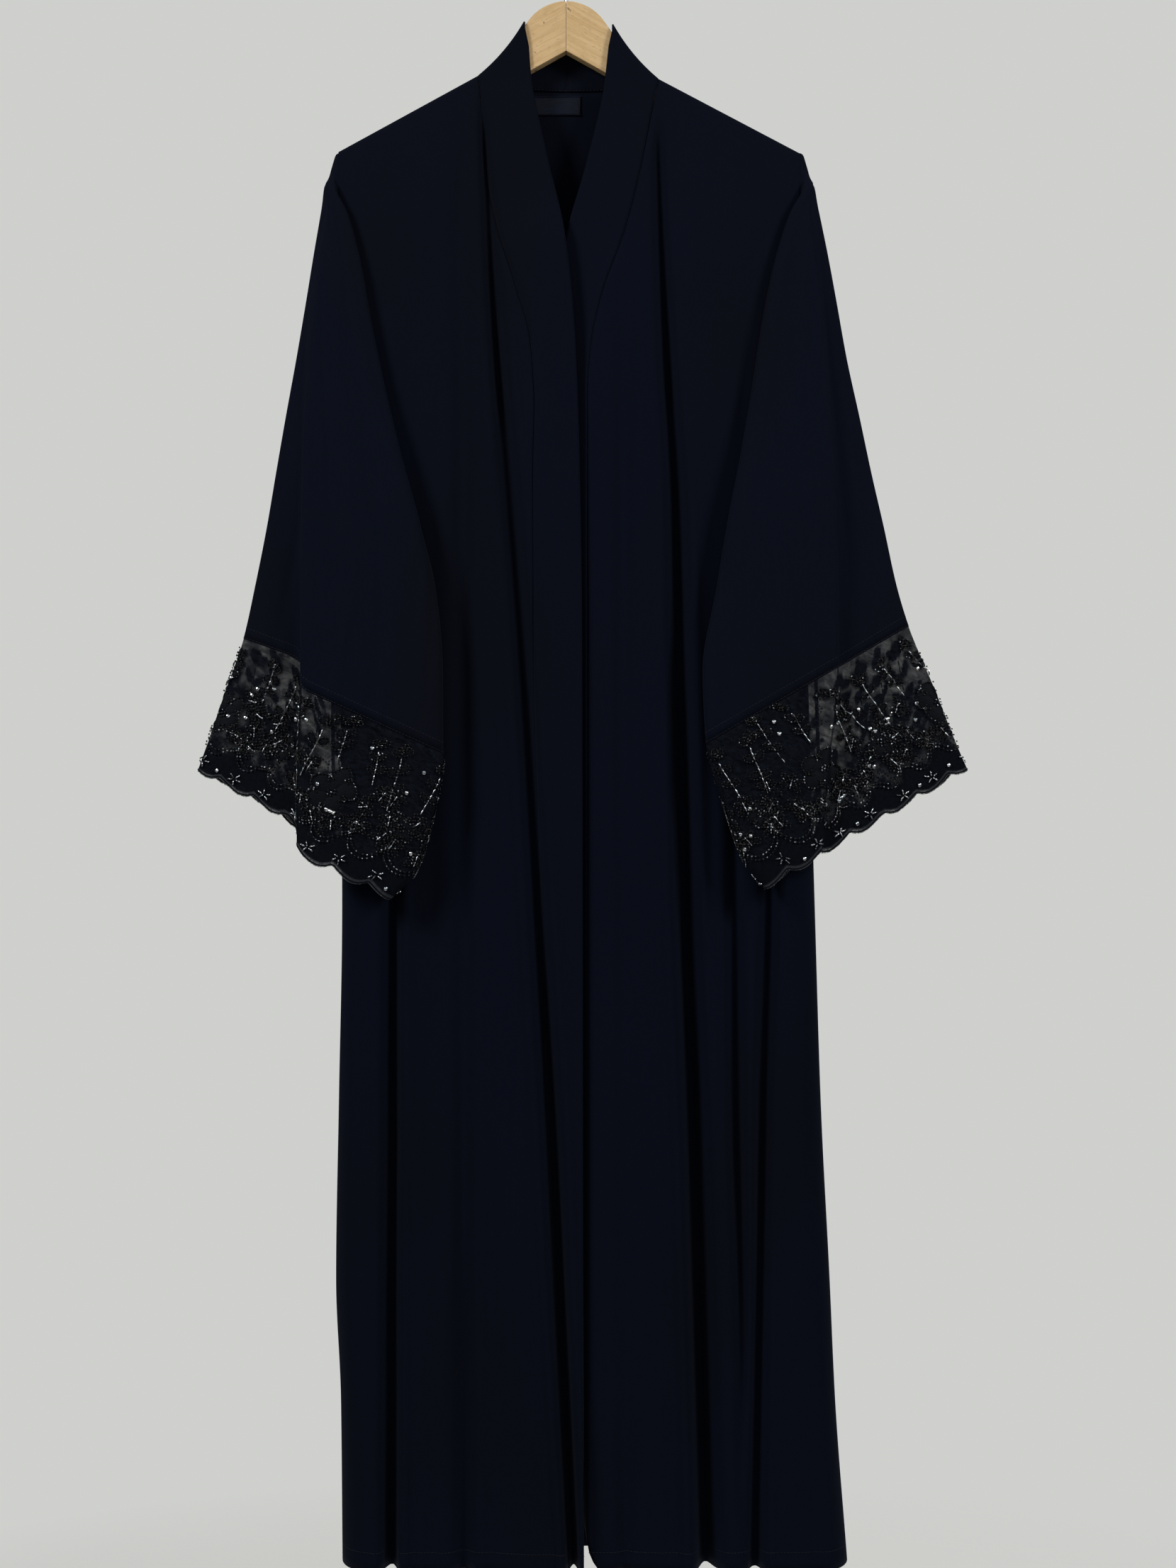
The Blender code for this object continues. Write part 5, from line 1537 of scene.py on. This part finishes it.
class ABAYA_OT_cuffs(bpy.types.Operator):
    """Makes the organza cuffs with their petals, beads, sequins and corded edge"""

    bl_idname = "abaya.cuffs"
    bl_label = "Embroidered cuffs"

    def execute(self, context):
        sizes = context.scene.abaya_cuffs
        finish = organza()
        thread = finished(*FINISHES["embroidery"])
        cord = cord_tree()
        trees = {shape: beads_tree(shape) for shape in ("rice bead", "bugle", "sequin")}
        looks = {key: finished(*FINISHES[key]) for key in ("glass", "rice", "bugles", "sequins")}
        for side in SIDES:
            _, rows = arm_pieces(side)
            cuff = EdgeMap(side, rows, sizes.gauze / MM / 2)
            lobes = round(cuff.length / SCALLOP_PITCH)
            dice = random.Random(sizes.seed + len(side))
            work = Beadwork(dice)
            work.border(cuff.length, lobes)
            work.fill(cuff, lobes)
            petals = [petal for petal in work.petals if cuff.fits(*petal[:2])]
            cover = cover_of(cuff, petals, lobes)
            fray = ease((RAW_EDGE - cuff.rise[::-1]) / 1.2 + 0.3)
            name = "cuff_" + side
            slot = "cuff_organza"
            piece = cloth(name, "organza", rows, sizes.gauze, finish, slot, cover=cover, fray=fray)
            worked = link(name + "_petals", petal_mesh(name, cuff, petals))
            worked.data.materials.append(thread)
            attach(worked, BODY)
            points = {kind: [] for kind in BEADS}
            for kind, u, v, angle in work.beads:
                if cuff.fits(u, v):
                    tilt = [dice.uniform(-BEAD_TILT, BEAD_TILT) for _ in range(2)]
                    raised = BEADS[kind][2][2] / 2 + BEADS[kind][3]
                    points[kind].append((cuff.at(u, v, raised), cuff.turned(u, v, angle, tilt)))
            for kind, (shape, look, size, _) in BEADS.items():
                made = (trees[shape], looks[look], dict(zip(BEAD_SIZES, size, strict=True)), slot)
                grown(name + "_" + kind, point_mesh(kind, points[kind]), *made)
            path = path_mesh("edge", [cuff.level(RAW_EDGE, CORD_POINTS)])
            made = (cord, thread, {"Radius": CORD_RADIUS}, slot)
            grown(name + "_cord", path, *made)
        return {"FINISHED"}


class ABAYA_OT_label(bpy.types.Operator):
    """Sews the bare label inside the back of the neck"""

    bl_idname = "abaya.label"
    bl_label = "Neck label"

    def execute(self, context):
        x = np.linspace(*LABEL_X)
        rows = []
        for z in np.linspace(*LABEL_Z):
            fold = LABEL["fold"] * math.exp(-(((z - LABEL_Z[1]) / LABEL["fold_half"]) ** 2))
            wave = LABEL["wave"] * np.sin(x / LABEL["wave_length"])
            y = back_y(x, z) - LABEL["gap"] - fold - wave
            rows.append(np.stack([x, y, np.full(len(x), z)], axis=1))
        rows = np.array(rows)
        finish = finished(*FINISHES["satin"])
        piece = cloth("neck_label", "satin", rows, LABEL["thick"] * MM, finish, "label_satin")
        folds = path_mesh("folds", [rows[k] + (0.0, -0.25, 0.0) for k in (0, -1)])
        ends = path_mesh("ends", [rows[:, k] + (0.0, -0.5, 0.0) for k in (1, -2)])
        edge = (cord_tree(), finish, {"Radius": LABEL_CORD}, "label_satin")
        sewn = (stitch_tree(), finished(*FINISHES["sewing"]), LABEL_STITCHES, "label_satin")
        trims = [grown("neck_label_folds", folds, *edge), grown("neck_label_stitches", ends, *sewn)]
        return {"FINISHED"}


class ABAYA_OT_stitches(bpy.types.Operator):
    """Sews the hems, the joins between sleeves and cuffs, and the back of the neck"""

    bl_idname = "abaya.stitches"
    bl_label = "Stitches"

    def execute(self, context):
        paths = {}
        for side in SIDES:
            sleeve = EdgeMap(side, arm_pieces(side)[0], SEWN_LIFT)
            paths["sleeve_" + side] = [sleeve.level(up, STITCH_POINTS) for up in CUFF_JOIN_ROWS]
            front = front_panel(side, ACROSS["front"])
            band = band_panel(side, ACROSS["band"])
            paths["hem_" + side] = [front[-3] + (0.0, -0.5, 0.0), band[2, 1:] + (0.0, -0.8, 0.0)]
        paths["back_hem"] = [back_panel(ACROSS["back"])[-3] + (0.0, 0.5, 0.0)]
        x = np.linspace(NECK_SEAM["x"][0] + 3.0, NECK_SEAM["x"][-1] - 3.0, 60)
        y, z = (curve_through(x, NECK_SEAM["x"], NECK_SEAM[key]) for key in "yz")
        paths["neck"] = [np.stack([x, y - 0.85, z + 1.6], axis=1)]
        sewn = (stitch_tree(), finished(*FINISHES["sewing"]), SEAM_STITCHES, "cloak_crepe")
        for name, lines in paths.items():
            grown(name + "_stitches", path_mesh(name, lines), *sewn)
        return {"FINISHED"}


class ABAYA_OT_hanger(bpy.types.Operator):
    """Gives the hanger's halves and hook their finishes"""

    bl_idname = "abaya.hanger"
    bl_label = "Hanger"

    def execute(self, context):
        finishes = {"hook": finished(*FINISHES["wire"])}
        for side in SIDES:
            lean = SIDES[side]["sign"] * HANGER_LEAN
            finishes[side] = beech("hanger lacquered beech, " + side + " arm", lean)
        for name, finish in finishes.items():
            node = bpy.data.objects["hanger_" + name]
            node.data.materials.clear()
            node.data.materials.append(finish)
        return {"FINISHED"}


class ABAYA_OT_stage(bpy.types.Operator):
    """Sets the floor, the room's light, the lamps and the camera"""

    bl_idname = "abaya.stage"
    bl_label = "Stage"

    def execute(self, context):
        sizes = context.scene.abaya_stage
        world = bpy.data.worlds.new("pale room")
        world.use_nodes = True
        tree = world.node_tree
        room = tree.nodes["Background"]
        room.inputs["Color"].default_value = (*sizes.backdrop, 1.0)
        seen = add(tree, "ShaderNodeLightPath").outputs["Is Camera Ray"]
        inputs = {"Value": seen, "To Min": sizes.room_light, "To Max": 1.0}
        strength = add(tree, "ShaderNodeMapRange", inputs).outputs["Result"]
        tree.links.new(strength, room.inputs["Strength"])
        context.scene.world = world
        context.scene.view_settings.view_transform = "Standard"
        self.floor()
        for name, energy, size, at in LAMPS:
            data = bpy.data.lights.new(name, "AREA")
            data.energy = energy
            data.size = size
            lamp = link(name, data)
            lamp.location = at
            aim = Vector((0.0, 0.0, LAMP_AIM_Z)) - Vector(at)
            lamp.rotation_euler = aim.to_track_quat("-Z", "Y").to_euler()
        data = bpy.data.cameras.new("front camera")
        data.sensor_fit = "VERTICAL"
        data.sensor_height = SENSOR
        data.lens = SENSOR * sizes.distance / PICTURE_HEIGHT
        camera = link("front camera", data)
        camera.location = (sizes.aside, -sizes.distance, sizes.height)
        camera.rotation_euler = (math.pi / 2, 0.0, 0.0)
        context.scene.camera = camera
        return {"FINISHED"}

    def floor(self):
        """A pale floor that fades out into the room."""
        material, tree, shader = new_material("pale studio floor", {"Roughness": 0.9})
        shader.inputs["Base Color"].default_value = linear("#D9D9D5")
        where = add(tree, "ShaderNodeTexCoord").outputs["Object"]
        length = add(tree, "ShaderNodeVectorMath", {0: where}, operation="LENGTH").outputs["Value"]
        near, far = FLOOR_FADE
        inputs = {"Value": length, "From Min": near, "From Max": far, "To Min": 1.0, "To Max": 0.0}
        fade = add(tree, "ShaderNodeMapRange", inputs).outputs["Result"]
        tree.links.new(fade, shader.inputs["Alpha"])
        turns = np.linspace(0.0, 2 * math.pi, FLOOR_CORNERS, endpoint=False)
        rim = np.stack([far * np.cos(turns), far * np.sin(turns), 0 * turns], axis=1)
        mesh = new_mesh("floor", rim, [], [range(FLOOR_CORNERS)])
        mesh.materials.append(material)
        floor = link("floor", mesh)
        floor.location = (0.0, 0.0, FLOOR_Z)


class ABAYA_PT_panel(bpy.types.Panel):
    """The cloak's steps, in order"""

    bl_label = "Abaya cloak"
    bl_idname = "ABAYA_PT_panel"
    bl_space_type = "VIEW_3D"
    bl_region_type = "UI"
    bl_category = "Abaya"

    def draw(self, context):
        for step in STEPS:
            self.layout.operator(step.bl_idname)
        for name in GROUPS:
            group = getattr(context.scene, name)
            for prop in group.__annotations__:
                self.layout.prop(group, prop)


GROUPS = {"abaya_cloth": AbayaCloth, "abaya_cuffs": AbayaCuffs, "abaya_stage": AbayaStage}
STEPS = (
    ABAYA_OT_body,
    ABAYA_OT_bands,
    ABAYA_OT_sleeves,
    ABAYA_OT_cuffs,
    ABAYA_OT_label,
    ABAYA_OT_stitches,
    ABAYA_OT_hanger,
    ABAYA_OT_stage,
)


def register():
    for kind in (*GROUPS.values(), *STEPS, ABAYA_PT_panel):
        bpy.utils.register_class(kind)
    for name, kind in GROUPS.items():
        setattr(bpy.types.Scene, name, PointerProperty(type=kind))


def unregister():
    for name in GROUPS:
        delattr(bpy.types.Scene, name)
    for kind in (ABAYA_PT_panel, *reversed(STEPS), *GROUPS.values()):
        bpy.utils.unregister_class(kind)


def main():
    register()
    bpy.ops.abaya.body()
    bpy.ops.abaya.bands()
    bpy.ops.abaya.sleeves()
    bpy.ops.abaya.cuffs()
    bpy.ops.abaya.label()
    bpy.ops.abaya.stitches()
    bpy.ops.abaya.hanger()
    bpy.ops.abaya.stage()


if __name__ == "__main__":
    main()
